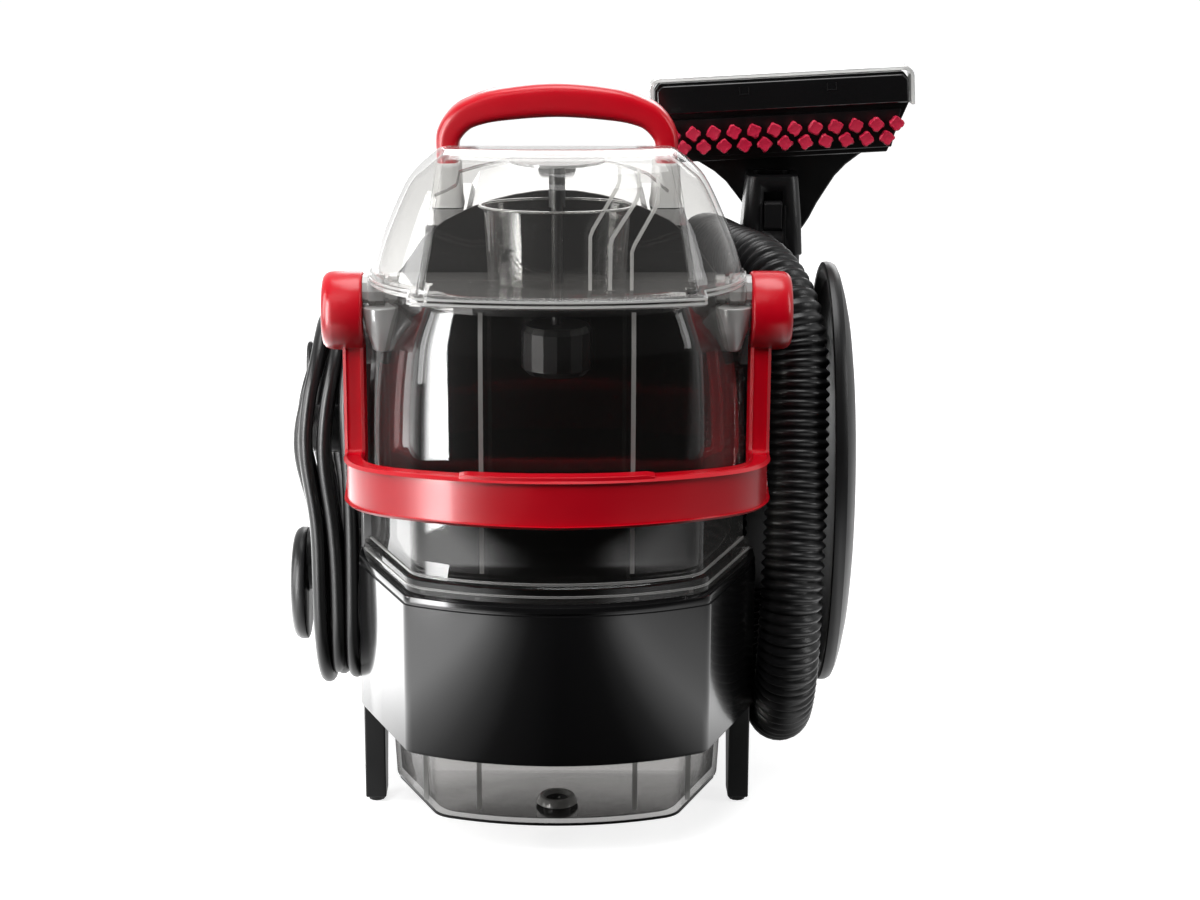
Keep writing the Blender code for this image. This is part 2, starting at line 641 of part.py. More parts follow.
def clean_tank():
    half, front, rear = CLEAN_HALF_WIDTH, CLEAN_FRONT, CLEAN_REAR
    low, top, wall = CLEAN_LOW, CLEAN_TOP, CLEAR_WALL
    neck_low, neck_out, neck_in = 0.0455, 0.0155, 0.0125

    def hole(radius, z):
        ring = []
        for point in rounded_rect(half, front, rear, z, 0.012):
            spoke = Vector((point.x - VALVE.x, point.y - VALVE.y, 0)).normalized() * radius
            ring.append(Vector((VALVE.x + spoke.x, VALVE.y + spoke.y, z)))
        return ring

    rings = [
        rounded_rect(half - 0.006, front + 0.006, rear - 0.010, top, 0.012),
        rounded_rect(half - 0.001, front + 0.001, rear - 0.004, top - 0.005, 0.014),
        rounded_rect(half, front, rear, top - 0.030, 0.014),
        rounded_rect(half, front, rear, low + 0.004, 0.014),
        rounded_rect(half - 0.003, front + 0.003, rear - 0.003, low, 0.012),
        hole(neck_out, low), hole(neck_out, neck_low),
        hole(neck_in, neck_low), hole(neck_in, low + wall),
        rounded_rect(half - wall - 0.003, front + wall + 0.003, rear - wall - 0.003, low + wall, 0.010),
        rounded_rect(half - wall, front + wall, rear - wall, low + 0.006, 0.011),
        rounded_rect(half - wall, front + wall, rear - wall, top - 0.031, 0.011),
        rounded_rect(half - 0.008, front + 0.008, rear - 0.012, top - wall, 0.010),
    ]
    node("clean_tank", loft(rings), "smoke")
    cap = [
        (0.0400, 0.0185), (0.0410, 0.0195), (0.0530, 0.0195), (0.0530, 0.0160),
        (0.0432, 0.0160), (0.0432, 0.0052), (0.0400, 0.0052),
    ]
    node("clean_tank_cap", turned(VALVE, "Z", cap, closed=True), "black")
    node("cap_gasket", tube(VALVE, "Z", 0.0435, 0.0452, 0.0155, 0.0110), "rubber")
    poppet = [(0.0345, 0.0024), (0.0435, 0.0032), (0.0435, 0.0078), (0.0455, 0.0078), (0.0465, 0.0060)]
    node("valve_poppet", turned(VALVE, "Z", poppet), "black", (VALVE.x, VALVE.y, 0.0435))
    node("valve_spring", tube(VALVE, "Z", 0.0468, 0.0560, 0.0050, 0.0040, 12), "steel")
    socket = [
        (SUMP_LOW + WALL + GAP, 0.0240), (0.0360, 0.0240), (0.0360, 0.0215), (0.0100, 0.0215),
        (0.0100, 0.0030), (0.0335, 0.0022),
    ]
    node("inlet_socket", turned(VALVE, "Z", socket), "grey")


# --- hose rack, hose, handpiece and tool ---------------------------------------------------------


def oval(x, centre, y_half, z_half, count=24):
    return circle((x, centre.y, centre.z), y_half, "X", count, z_half)


def hose_rack():
    hub_y, hub_z = 0.034, 0.080
    low, high = HOUSING_HALF_WIDTH + GAP, RACK_IN - GAP
    rings = [
        oval(high, HUB_CENTRE, hub_y - 0.002, hub_z - 0.002),
        oval(high - 0.002, HUB_CENTRE, hub_y, hub_z), oval(low, HUB_CENTRE, hub_y, hub_z),
        oval(low, HUB_CENTRE, hub_y - WALL, hub_z - WALL),
        oval(high - WALL, HUB_CENTRE, hub_y - WALL, hub_z - WALL),
    ]
    node("hose_rack_hub", loft(rings), "black")
    deep, tall = RACK_HALF_DEPTH, RACK_HALF_HEIGHT
    profile = [(RACK_OUT, 0.45), (0.1590, 0.72), (0.1555, 0.90), (0.1500, 1.0), (RACK_IN, 1.0),
               (RACK_IN, 0.955), (0.1495, 0.93), (0.1535, 0.84), (0.1560, 0.68), (0.1570, 0.42)]
    rings = [oval(x, RACK_CENTRE, deep * share, tall * share) for x, share in profile]
    node("hose_rack_flange", loft(rings), "black")


def tool_holster():
    """An arm off the housing that ends in a clip round the grip, open towards the rack's rim."""
    outer, inner = 0.0215, 0.0178
    outline = [(GRIP.x + outer * math.cos(math.radians(a)), GRIP.y + outer * math.sin(math.radians(a)))
               for a in range(50, 311, 20)]
    outline += [(GRIP.x + inner * math.cos(math.radians(a)), GRIP.y + inner * math.sin(math.radians(a)))
                for a in range(310, 49, -20)]
    holster = node("tool_holster", prism(outline, "Z", 0.195, 0.225), "black")
    arm_low, arm_high = HOUSING_HALF_WIDTH + GAP, GRIP.x - inner - 0.0008
    add(holster, box((arm_low, GRIP.y - 0.0100, 0.198), (arm_high, GRIP.y + 0.0020, 0.222)))


HOSE_ROUTE = [
    (0.0860, -0.0480, 0.2120), (0.0860, -0.0480, 0.1850), (0.0860, -0.0480, 0.1500),
    (0.0862, -0.0460, 0.1180), (0.0865, -0.0310, 0.0870), (0.0865, 0.0000, 0.0705),
    (0.0865, 0.0500, 0.0690), (0.0865, 0.1000, 0.0710), (0.0865, 0.1340, 0.0880),
    (0.0865, 0.1500, 0.1200), (0.0865, 0.1520, 0.1700), (0.0865, 0.1500, 0.2200),
    (0.0865, 0.1340, 0.2580), (0.0868, 0.1000, 0.2800), (0.0880, 0.0600, 0.2870),
    (0.0960, 0.0220, 0.2885), (0.1120, -0.0150, 0.2860), (0.1230, -0.0390, 0.2700),
    (0.1275, -0.0490, 0.2450), (0.1275, -0.0580, 0.2150), (0.1268, -0.0690, 0.1800),
    (0.1250, -0.0790, 0.1450), (0.1235, -0.0840, 0.1120), (0.1230, -0.0780, 0.0800),
    (0.1225, -0.0580, 0.0520), (0.1225, -0.0260, 0.0400), (0.1225, 0.0100, 0.0440),
    (0.1225, 0.0440, 0.0620), (0.1225, 0.0660, 0.0900), (0.1225, 0.0750, 0.1150),
    (0.1225, 0.0750, 0.1390),
]


def curve(name, points, radius, colour, resolution):
    data = bpy.data.curves.new(name, "CURVE")
    data.dimensions = "3D"
    data.bevel_depth = radius
    data.bevel_resolution = resolution
    data.use_fill_caps = True
    spline = data.splines.new("POLY")
    spline.points.add(len(points) - 1)
    for slot, point in zip(spline.points, points):
        slot.co = (*point, 1)
    data.materials.append(material(name, colour))
    obj = bpy.data.objects.new(name, data)
    bpy.context.collection.objects.link(obj)
    return obj


def hose():
    path = spaced(smooth_path(HOSE_ROUTE, 8), 0.022)
    curve("hose", path, HOSE_RADIUS, "rubber", 2)
    start = Vector(HOSE_ROUTE[0])
    outer, inner = 0.0165, 0.0130
    port = node("hose_port", turned(start, "Z", [
        (start.z + GAP, outer), (start.z + 0.012, outer), (start.z + 0.022, 0.0140),
    ]), "black")
    add(port, box((HOUSING_HALF_WIDTH + GAP, start.y - 0.0115, start.z + 0.004),
                  (start.x, start.y + 0.0115, start.z + 0.020)))
    cut(port, turned(start, "Z", [(start.z - 0.002, inner), (start.z + 0.014, inner)]))


def handpiece():
    outside = [(GRIP_LOW, 0.0172), (0.146, 0.0172), (0.152, 0.0160), (0.262, 0.0160),
               (0.272, 0.0172), (GRIP_TOP, 0.0172)]
    inside = [(GRIP_TOP, 0.0140), (0.262, 0.0125), (0.152, 0.0125), (GRIP_LOW, 0.0145)]
    grip = node("grip", turned(GRIP, "Z", outside + inside, closed=True), "black")
    x, y = GRIP.x, GRIP.y
    cut(grip, box((x - 0.0065, y + 0.0080, 0.2330), (x + 0.0065, y + 0.0250, 0.2700)))
    pivot = Vector((x, y + 0.0150, 0.2655))
    outline = [
        (pivot.y - 0.0030, 0.2685), (pivot.y + 0.0030, 0.2685), (pivot.y + 0.0060, 0.2580),
        (pivot.y + 0.0070, 0.2400), (pivot.y + 0.0055, 0.2350), (pivot.y + 0.0020, 0.2345),
        (pivot.y + 0.0015, 0.2540), (pivot.y - 0.0030, 0.2600),
    ]
    trigger = node("trigger", prism(outline, "X", x - 0.0055, x + 0.0055), "red", pivot)
    cut(trigger, turned(pivot, "X", [(x - 0.008, 0.0013), (x + 0.008, 0.0013)], 12))
    pin = [(x - 0.0061, 0.0010), (x + 0.0061, 0.0010)]
    node("trigger_pin", turned(pivot, "X", pin, 12), "steel", pivot)

    def squarish(z, half_x, half_y, mid_y):
        return rounded_rect(half_x, mid_y - half_y, mid_y + half_y, z, 0.007, x)

    low = GRIP_TOP + GAP
    rings = [
        squarish(low, 0.0175, 0.0155, y - 0.0008), squarish(0.300, 0.0165, 0.0150, y - 0.0010),
        squarish(NECK_TOP - 0.002, 0.0145, 0.0138, y - 0.001),
        squarish(NECK_TOP, 0.0130, 0.0122, y - 0.001),
        squarish(NECK_TOP, 0.0105, 0.0098, y - 0.001), squarish(low, 0.0140, 0.0125, y - 0.0008),
    ]
    neck = node("neck", loft(rings, closed=True), "black")
    cut(neck, box((x - 0.0056, y - 0.0200, 0.2945), (x + 0.0056, y - 0.0100, 0.3170)))
    front = y - 0.0152
    latch = [(front - 0.0010, 0.2950), (front - 0.0024, 0.2965), (front - 0.0020, 0.3100),
             (front - 0.0002, 0.3115), (front + 0.0030, 0.3115), (front + 0.0030, 0.2950)]
    node("latch_button", prism(latch, "X", x - 0.0052, x + 0.0052), "black",
         (x, front, 0.3035))


def tilted(mesh):
    """The tool leans a little in the X-Z plane, its far end higher."""
    c, s = math.cos(TOOL_TILT), math.sin(TOOL_TILT)
    for vert in mesh.verts:
        x, z = vert.co.x - TOOL_CENTRE.x, vert.co.z - TOOL_CENTRE.z
        vert.co.x = TOOL_CENTRE.x + c * x - s * z
        vert.co.z = TOOL_CENTRE.z + s * x + c * z
    return mesh


def brush_tool():
    """The tool, drawn upright about its centre and then leaned."""
    x, z = TOOL_CENTRE.x, TOOL_CENTRE.z
    half = TOOL_HALF_WIDTH
    face, back = 0.0640, 0.0785
    low, shelf, top = z - 0.0240, z + 0.0033, z + 0.0207
    fan_half, fan_face, fan_back = 0.054, 0.0905, 0.0985
    fan = [
        (0.0100, z - 0.0720), (0.0160, z - 0.0640), (0.0260, z - 0.0480), (0.0380, z - 0.0340),
        (fan_half, low - 0.0005), (fan_half, top),
    ]
    fan = [(x + dx, dz) for dx, dz in fan] + [(x - dx, dz) for dx, dz in reversed(fan)]
    body = node("tool_body", tilted(prism(fan, "Y", fan_face, fan_back)), "black")
    head = [(-half + 0.013, low), (half - 0.013, low), (half, shelf), (half, top - 0.004),
            (half - 0.003, top), (-half + 0.003, top), (-half, top - 0.004), (-half, shelf)]
    add(body, tilted(prism([(x + dx, dz) for dx, dz in head], "Y", face, back)))
    reach = fan_half - 0.0015
    bridge = box((x - reach, back - 0.002, low + 0.0010), (x + reach, fan_face + 0.002, top - 0.0010))
    add(body, tilted(bridge))
    reach = half - 0.004
    slot = box((x - reach, face + 0.004, z + 0.0080), (x + reach, back - 0.004, top + 0.0030))
    cut(body, tilted(slot))
    lip = [(x - half + 0.001, shelf + 0.0005), (x + half - 0.001, shelf + 0.0005),
           (x + half - 0.001, top - 0.004), (x + half - 0.004, top - 0.001),
           (x - half + 0.004, top - 0.001), (x - half + 0.001, top - 0.004)]
    node("tool_lip", tilted(prism(lip, "Y", face - 0.0060, face - GAP)), "black")
    strip = [(-0.0605, low + 0.003), (0.0605, low + 0.003), (0.0665, shelf - 0.003), (-0.0665, shelf - 0.003)]
    strip = [(x + dx, dz) for dx, dz in strip]
    brush = node("brush_strip", tilted(prism(strip, "Y", face - 0.0030, face - GAP)), "bristle")
    pitch = 0.0114
    for row, columns in enumerate((11, 12)):
        for column in range(columns):
            cx = x + pitch * (column - (columns - 1) / 2)
            cz = low + 0.0074 + 0.0079 * row
            tuft = [(face - 0.0135, 0.0038), (face - 0.0020, 0.0024)]
            add(brush, tilted(turned((cx, 0, cz), "Y", tuft, 6)))

    def rim(grow):
        return [(x + sx * (half + grow), zz) for sx, zz in (
            (-1, shelf - 0.001), (-1, top - 0.002 + grow), (-0.97, top + 0.0005 + grow),
            (0.97, top + 0.0005 + grow), (1, top - 0.002 + grow), (1, shelf - 0.001))]

    outer, inner = rim(0.0028), rim(0.0006)
    shape = outer + list(reversed(inner))
    node("nozzle_window", tilted(prism(shape, "Y", face - 0.0045, face + 0.0035)), "clear")


# --- cord ----------------------------------------------------------------------------------------


def stadium(radius, x, count=8):
    """A ring of points on the cord loop's upright stadium shape."""
    ring = []
    for start, centre_z in ((0, CORD_LOOP.z + CORD_LOOP_HALF), (180, CORD_LOOP.z - CORD_LOOP_HALF)):
        for step in range(count + 1):
            angle = math.radians(start + 180 * step / count)
            ring.append(Vector((x, CORD_LOOP.y + radius * math.cos(angle),
                                centre_z + radius * math.sin(angle))))
    return ring


def pod_ring(x, inset, radius):
    """The cord pod's outline at x, drawn as a rounded rectangle and stood upright."""
    low, high, front, rear = 0.072, 0.262, -0.0655, 0.050
    flat = rounded_rect((high - low) / 2 - inset, front + inset, rear - inset, 0, radius, (high + low) / 2)
    return [Vector((x, p.y, p.x)) for p in flat]


def cord_wrap():
    outer = BASE_HALF_WIDTH
    low_x = -(HOUSING_HALF_WIDTH + GAP)
    rings = [
        pod_ring(-outer, 0.002, 0.010), pod_ring(-outer + 0.002, 0, 0.012), pod_ring(low_x, 0, 0.012),
        pod_ring(low_x, WALL, 0.009), pod_ring(-outer + WALL, WALL, 0.009),
    ]
    node("cord_pod", loft(rings), "black")

    face = -outer - GAP
    rim_in, rim_out = -0.1385, -0.1465
    lower = Vector((0, CORD_LOOP.y, 0.1215))
    rings = [
        oval(face, lower, 0.017, 0.017, 16), oval(rim_in, lower, 0.017, 0.017, 16),
        oval(rim_in, lower - Vector((0, 0, 0.014)), 0.030, 0.0315, 16),
        oval(rim_out + 0.003, lower - Vector((0, 0, 0.014)), 0.030, 0.0315, 16),
        oval(rim_out, lower - Vector((0, 0, 0.014)), 0.026, 0.027, 16),
    ]
    node("cord_hook_lower", loft(rings), "black")
    upper = Vector((0, CORD_LOOP.y, 0.1965))
    rings = [
        oval(face, upper, 0.013, 0.013, 16), oval(-0.1335, upper, 0.013, 0.013, 16),
        oval(-0.1335, upper + Vector((0, 0, 0.0190)), 0.013, 0.030, 16),
        oval(-0.1362, upper + Vector((0, 0, 0.0190)), 0.011, 0.028, 16),
    ]
    node("cord_hook_upper", loft(rings), "black", (face, upper.y, upper.z))


LEAD_ROUTE = [
    (-0.1107, 0.0408, 0.0786), (-0.1101, 0.0440, 0.0745), (-0.1080, 0.0530, 0.0670),
    (-0.1045, 0.0680, 0.0625), (-0.1005, 0.0830, 0.0620), (-0.0965, 0.0970, 0.0655),
    (-0.0930, 0.1085, 0.0755), (-0.0905, 0.1130, 0.0900), (-0.0890, 0.1090, 0.1050),
    (-0.0880, 0.0985, 0.1168), (-0.0880, 0.0900, 0.1198), (-0.0880, 0.0830, 0.1200),
]
TAIL_ROUTE = [
    (-0.1275, 0.0440, 0.1550), (-0.1273, 0.0465, 0.1670), (-0.1266, 0.0530, 0.1770),
    (-0.1257, 0.0625, 0.1833), (-0.1245, 0.0740, 0.1850), (-0.1233, 0.0855, 0.1833),
    (-0.1220, 0.0950, 0.1770), (-0.1207, 0.1015, 0.1670), (-0.1201, 0.1040, 0.1550),
    (-0.1200, 0.1040, 0.1440),
]


def cord():
    inner, outer = 0.0262, 0.0490
    near, far = -0.1075, -0.1331
    corners = ((outer, near), (outer, far), (inner, far), (inner, near))
    node("cord_coil", loft([stadium(r, x) for r, x in corners], closed=True), "rubber")
    for name, route in (("cord_lead", LEAD_ROUTE), ("cord_tail", TAIL_ROUTE)):
        curve(name, spaced(smooth_path(route, 6), 0.007), CORD_RADIUS, "rubber", 2)
    end = Vector(LEAD_ROUTE[-1])
    relief = [(0.0503, 0.0085), (0.0560, 0.0085), (0.0580, 0.0070), (end.y - GAP, 0.0052)]
    node("strain_relief", turned(end, "Y", relief), "rubber")
    top = Vector(TAIL_ROUTE[-1])
    body = [(0.0985, 0.0125), (0.1015, 0.0140), (0.1115, 0.0140), (0.1235, 0.0085), (top.z - GAP, 0.0055)]
    plug = node("mains_plug", turned(top, "Z", body), "rubber")
    for side in (-1, 1):
        profile = [(0.0805, 0.0018), (0.0820, 0.0024), (0.1005, 0.0024)]
        add(plug, turned(top + Vector((side * 0.0080, 0, 0)), "Z", profile, 10))


def main():
    clear_scene()
    base_tray()
    runners()
    front_band()
    housing()
    power_switch()
    carry_handle()
    fan_and_motor()
    pump()
    recovery_tank()
    tank_lid()
    lid_insides()
    bail_handle()
    clean_tank()
    hose_rack()
    tool_holster()
    hose()
    handpiece()
    brush_tool()
    cord_wrap()
    cord()


main()
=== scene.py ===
"""A portable spot extractor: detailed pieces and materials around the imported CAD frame."""

import math
import random

import bmesh
import bpy
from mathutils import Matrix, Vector


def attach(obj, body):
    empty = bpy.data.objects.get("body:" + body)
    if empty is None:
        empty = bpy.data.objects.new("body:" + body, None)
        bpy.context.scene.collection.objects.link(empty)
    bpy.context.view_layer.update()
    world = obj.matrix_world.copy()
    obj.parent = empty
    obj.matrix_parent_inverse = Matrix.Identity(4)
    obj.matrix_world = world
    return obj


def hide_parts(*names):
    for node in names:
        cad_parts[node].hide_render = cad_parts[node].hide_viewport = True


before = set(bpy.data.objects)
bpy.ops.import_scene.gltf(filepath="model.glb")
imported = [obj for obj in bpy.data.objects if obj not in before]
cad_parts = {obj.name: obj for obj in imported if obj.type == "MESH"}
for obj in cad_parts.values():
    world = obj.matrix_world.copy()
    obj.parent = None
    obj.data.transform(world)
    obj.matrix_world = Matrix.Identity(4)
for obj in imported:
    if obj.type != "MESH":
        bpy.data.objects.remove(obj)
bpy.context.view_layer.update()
random.seed(7)


def tenths(rows):
    """Rows of sizes given in tenths of a millimetre, in metres."""
    return [tuple(value / 10000 for value in row) for row in rows]


# Sizes in metres, as in the CAD source
SIDE_START = -0.083
TANK_REAR = -0.0755
PIVOT = Vector((0, -0.09, 0.279))
FLOAT_Y = -0.105
TANK_FILLET = 0.1
BASE_HALF = 0.1045
BAND_FRONT = -0.17
LEG_FRONT = -0.07
TOOL_TILT = math.radians(3)
TOOL = Vector((0.127, 0.075, 0.36))
TOOL_HALF = 0.0713
GRIP = Vector((0.1225, 0.075, 0))
CORD_RADIUS = 0.00375
HOSE_RADIUS = 0.0168
SEAM_BURIED = 0.0004


# --- camera, light and floor


def camera():
    data = bpy.data.cameras.new("camera")
    data.lens, data.sensor_width = 72, 36
    data.shift_x = 43 / 1200
    obj = bpy.data.objects.new("camera", data)
    obj.location = (0, -1.291, 0.5226)
    obj.rotation_euler = (math.radians(90 - 14.8), 0, 0)
    bpy.context.scene.collection.objects.link(obj)
    bpy.context.scene.camera = obj
    bpy.context.scene.view_settings.view_transform = "Standard"


def softbox(name, place, target, width, height, radiance, fade=None, diffuse=True, glossy=True):
    """A rectangular area light; fade gives its strength at each side, as (place, level) stops."""
    data = bpy.data.lights.new(name, "AREA")
    data.shape = "RECTANGLE"
    data.size, data.size_y = width, height
    data.energy = radiance * math.pi * width * height
    obj = bpy.data.objects.new(name, data)
    obj.location = place
    obj.rotation_euler = (Vector(target) - Vector(place)).to_track_quat("-Z", "Y").to_euler()
    obj.visible_camera, obj.visible_diffuse, obj.visible_glossy = False, diffuse, glossy
    bpy.context.scene.collection.objects.link(obj)
    if fade:
        data.use_nodes = True
        tree = data.node_tree
        split = new(tree, "SeparateXYZ")
        link(new(tree, "NewGeometry").outputs["Parametric"], split.inputs[0])
        link(stops(tree, split.outputs[0], fade), tree.nodes["Emission"].inputs["Strength"])


def new(tree, kind, **values):
    """A shader node of the given kind, with values for its sockets or its operation."""
    made = tree.nodes.new("ShaderNode" + kind)
    if "operation" in values:
        made.operation = values.pop("operation")
    for name, value in values.items():
        made.inputs[name.replace("_", " ")].default_value = value
    return made


def link(source, socket):
    source.id_data.links.new(source, socket)


def multiplied(tree, first, second):
    made = new(tree, "Math", operation="MULTIPLY")
    link(first, made.inputs[0])
    link(second, made.inputs[1])
    return made.outputs[0]


def stops(tree, source, levels):
    """A grey ramp over the source with the given (place, level) stops."""
    ramp = new(tree, "ValToRGB")
    marks = ramp.color_ramp.elements
    for i, (place, level) in enumerate(levels):
        mark = marks[0] if i == 0 else marks[-1] if i == len(levels) - 1 else marks.new(place)
        mark.position = place
        mark.color = (level, level, level, 1)
    link(source, ramp.inputs[0])
    return ramp.outputs[0]


def spanned(tree, source, low, high, out_low=0.0, out_high=1.0):
    """The source's share of the way from low to high, kept within 0 and 1, from out_low to out_high."""
    made = new(tree, "MapRange", From_Min=low, From_Max=high, To_Min=out_low, To_Max=out_high)
    link(source, made.inputs["Value"])
    return made.outputs[0]


def axes(tree, space):
    """The X, Y and Z outputs of a texture coordinate."""
    split = new(tree, "SeparateXYZ")
    link(new(tree, "TexCoord").outputs[space], split.inputs[0])
    return split.outputs


def by_camera(tree, others, seen, target):
    """Shows one shader to the camera and another to reflections and bounces."""
    mix, path = new(tree, "MixShader"), new(tree, "LightPath")
    link(path.outputs["Is Camera Ray"], mix.inputs[0])
    link(others, mix.inputs[1])
    link(seen, mix.inputs[2])
    link(mix.outputs[0], target)


def studio():
    """White behind everything, dark in front, and bright boxes at the sides and above."""
    world = bpy.data.worlds.new("studio")
    bpy.context.scene.world = world
    world.use_nodes = True
    tree = world.node_tree
    tree.nodes.clear()
    seen, bounced = new(tree, "Background"), new(tree, "Background")
    levels = stops(tree, spanned(tree, axes(tree, "Generated")["Y"], -1, 1),
                   ((0.0, 0.03), (0.3, 0.06), (0.55, 0.45), (1.0, 0.9)))
    link(levels, bounced.inputs[0])
    seen.inputs[0].default_value = (1, 1, 1, 1)
    by_camera(tree, bounced.outputs[0], seen.outputs[0], new(tree, "OutputWorld").inputs[0])

    middle = (0, 0, 0.2)
    side = ((0.0, 0.0), (0.3, 0.1), (0.8, 1.0), (1.0, 1.0))
    softbox("left_card", (-0.5, -0.44, 0.3), (-0.06, -0.13, 0.3), 0.3, 0.66, 26.0, side, diffuse=False)
    softbox("left_box", (-1.35, -0.35, 0.55), middle, 0.5, 1.2, 9.0)
    softbox("key_box", (-0.35, -1.25, 1.75), middle, 0.9, 0.9, 13.0, glossy=False)
    softbox("right_box", (1.45, -0.55, 0.75), middle, 0.4, 1.0, 5.0)
    softbox("top_box", (0.1, 0.05, 1.7), middle, 1.0, 0.7, 5.0)
    softbox("rear_box", (0.3, 1.6, 0.9), middle, 1.2, 0.8, 3.0)


def floor():
    """A white floor whose reflection is bright behind on the left and dark in front."""
    bpy.ops.mesh.primitive_plane_add(size=14, location=(0, 0, 0))
    obj = bpy.context.object
    obj.name = "floor"
    made, tree, shader = shaded("floor", Base_Color=(0.5, 0.5, 0.5, 1), Roughness=0.7,
                                Emission_Color=(1, 1, 1, 1), Emission_Strength=0.78)
    place = axes(tree, "Object")
    behind = multiplied(tree, spanned(tree, place["Y"], -0.15, 0.12),
                        spanned(tree, place["X"], 0.15, -0.25, 0.25, 1.5))
    across = stops(tree, spanned(tree, place["X"], -0.8, 0.8),
                   ((0.0, 0.3), (0.22, 3.0), (0.35, 3.4), (0.383, 1.7), (0.417, 0.55), (0.45, 0.06),
                    (0.5, 0.0), (0.556, 0.02), (0.583, 0.2), (0.617, 1.2), (0.633, 1.7), (0.667, 1.25),
                    (0.81, 0.5), (1.0, 0.2)))
    near = multiplied(tree, across, spanned(tree, place["Y"], -0.63, -0.53))
    mirrored, strength = new(tree, "Emission"), new(tree, "Math")
    link(behind, strength.inputs[0])
    link(multiplied(tree, near, new(tree, "LightPath").outputs["Is Glossy Ray"]), strength.inputs[1])
    link(strength.outputs[0], mirrored.inputs["Strength"])
    by_camera(tree, mirrored.outputs[0], shader.outputs[0], tree.nodes["Material Output"].inputs[0])
    obj.data.materials.append(made)


# --- materials


def noise(tree, scale, detail=3.0, stretch=(1, 1, 1)):
    """A noise pattern in the object's own coordinates."""
    place, pattern = new(tree, "Mapping", Scale=stretch), new(tree, "TexNoise", Scale=scale, Detail=detail)
    link(new(tree, "TexCoord").outputs["Object"], place.inputs[0])
    link(place.outputs[0], pattern.inputs["Vector"])
    return pattern.outputs[0]


def ranged(tree, source, low, high):
    """The middle of a noise pattern's range, from low to high."""
    return spanned(tree, source, 0.3, 0.7, low, high)


def bumped(tree, height, strength, distance, target):
    bump = new(tree, "Bump", Strength=strength, Distance=distance)
    link(height, bump.inputs["Height"])
    link(bump.outputs[0], target)


def shaded(name, **values):
    """A new material's tree and its main shader, with values for the shader's sockets."""
    made = bpy.data.materials.new(name)
    made.use_nodes = True
    shader = made.node_tree.nodes["Principled BSDF"]
    for socket, value in values.items():
        shader.inputs[socket.replace("_", " ")].default_value = value
    return made, made.node_tree, shader


def plastic(name, colour, rough, grain, grain_scale, coat=0.0, metallic=0.0, stretch=(1, 1, 1)):
    """A moulded surface: faint cloudiness in colour and gloss, and a fine grain in its normal."""
    made, tree, shader = shaded(name, Metallic=metallic, Coat_Weight=coat, Coat_Roughness=0.06)
    tint = new(tree, "MixRGB")
    tint.inputs[1].default_value = (*[c * 0.96 for c in colour], 1)
    tint.inputs[2].default_value = (*[min(1, c * 1.04) for c in colour], 1)
    link(ranged(tree, noise(tree, 35), 0, 1), tint.inputs[0])
    link(tint.outputs[0], shader.inputs["Base Color"])
    link(ranged(tree, noise(tree, 60, 5, stretch), rough * 0.93, rough * 1.07), shader.inputs["Roughness"])
    bumped(tree, noise(tree, grain_scale, 2, stretch), grain, 0.0002, shader.inputs["Normal"])
    return made


def clear(name, tint, haze, haze_colour, edge):
    """Clear plastic: tinted see-through faces that turn hazy and glossy towards their edges."""
    made, tree, shader = shaded(name, Base_Color=(*haze_colour, 1), Roughness=0.35)
    through = new(tree, "BsdfTransparent", Color=(*tint, 1))
    gloss = new(tree, "BsdfGlossy", Roughness=0.03)
    facing = new(tree, "LayerWeight", Blend=0.5).outputs["Facing"]

    def mixed(power, low, high, first, second):
        raised = new(tree, "Math", operation="POWER")
        raised.inputs[1].default_value = power
        link(facing, raised.inputs[0])
        mix = new(tree, "MixShader")
        link(spanned(tree, raised.outputs[0], 0, 1, low, high), mix.inputs[0])
        link(first, mix.inputs[1])
        link(second, mix.inputs[2])
        return mix.outputs[0]

    body = mixed(3, haze, edge, through.outputs[0], shader.outputs[0])
    surface = mixed(5, 0.04, 0.85, body, gloss.outputs[0])
    link(surface, tree.nodes["Material Output"].inputs[0])
    bumped(tree, noise(tree, 45, 1), 0.04, 0.0006, gloss.inputs["Normal"])
    return made


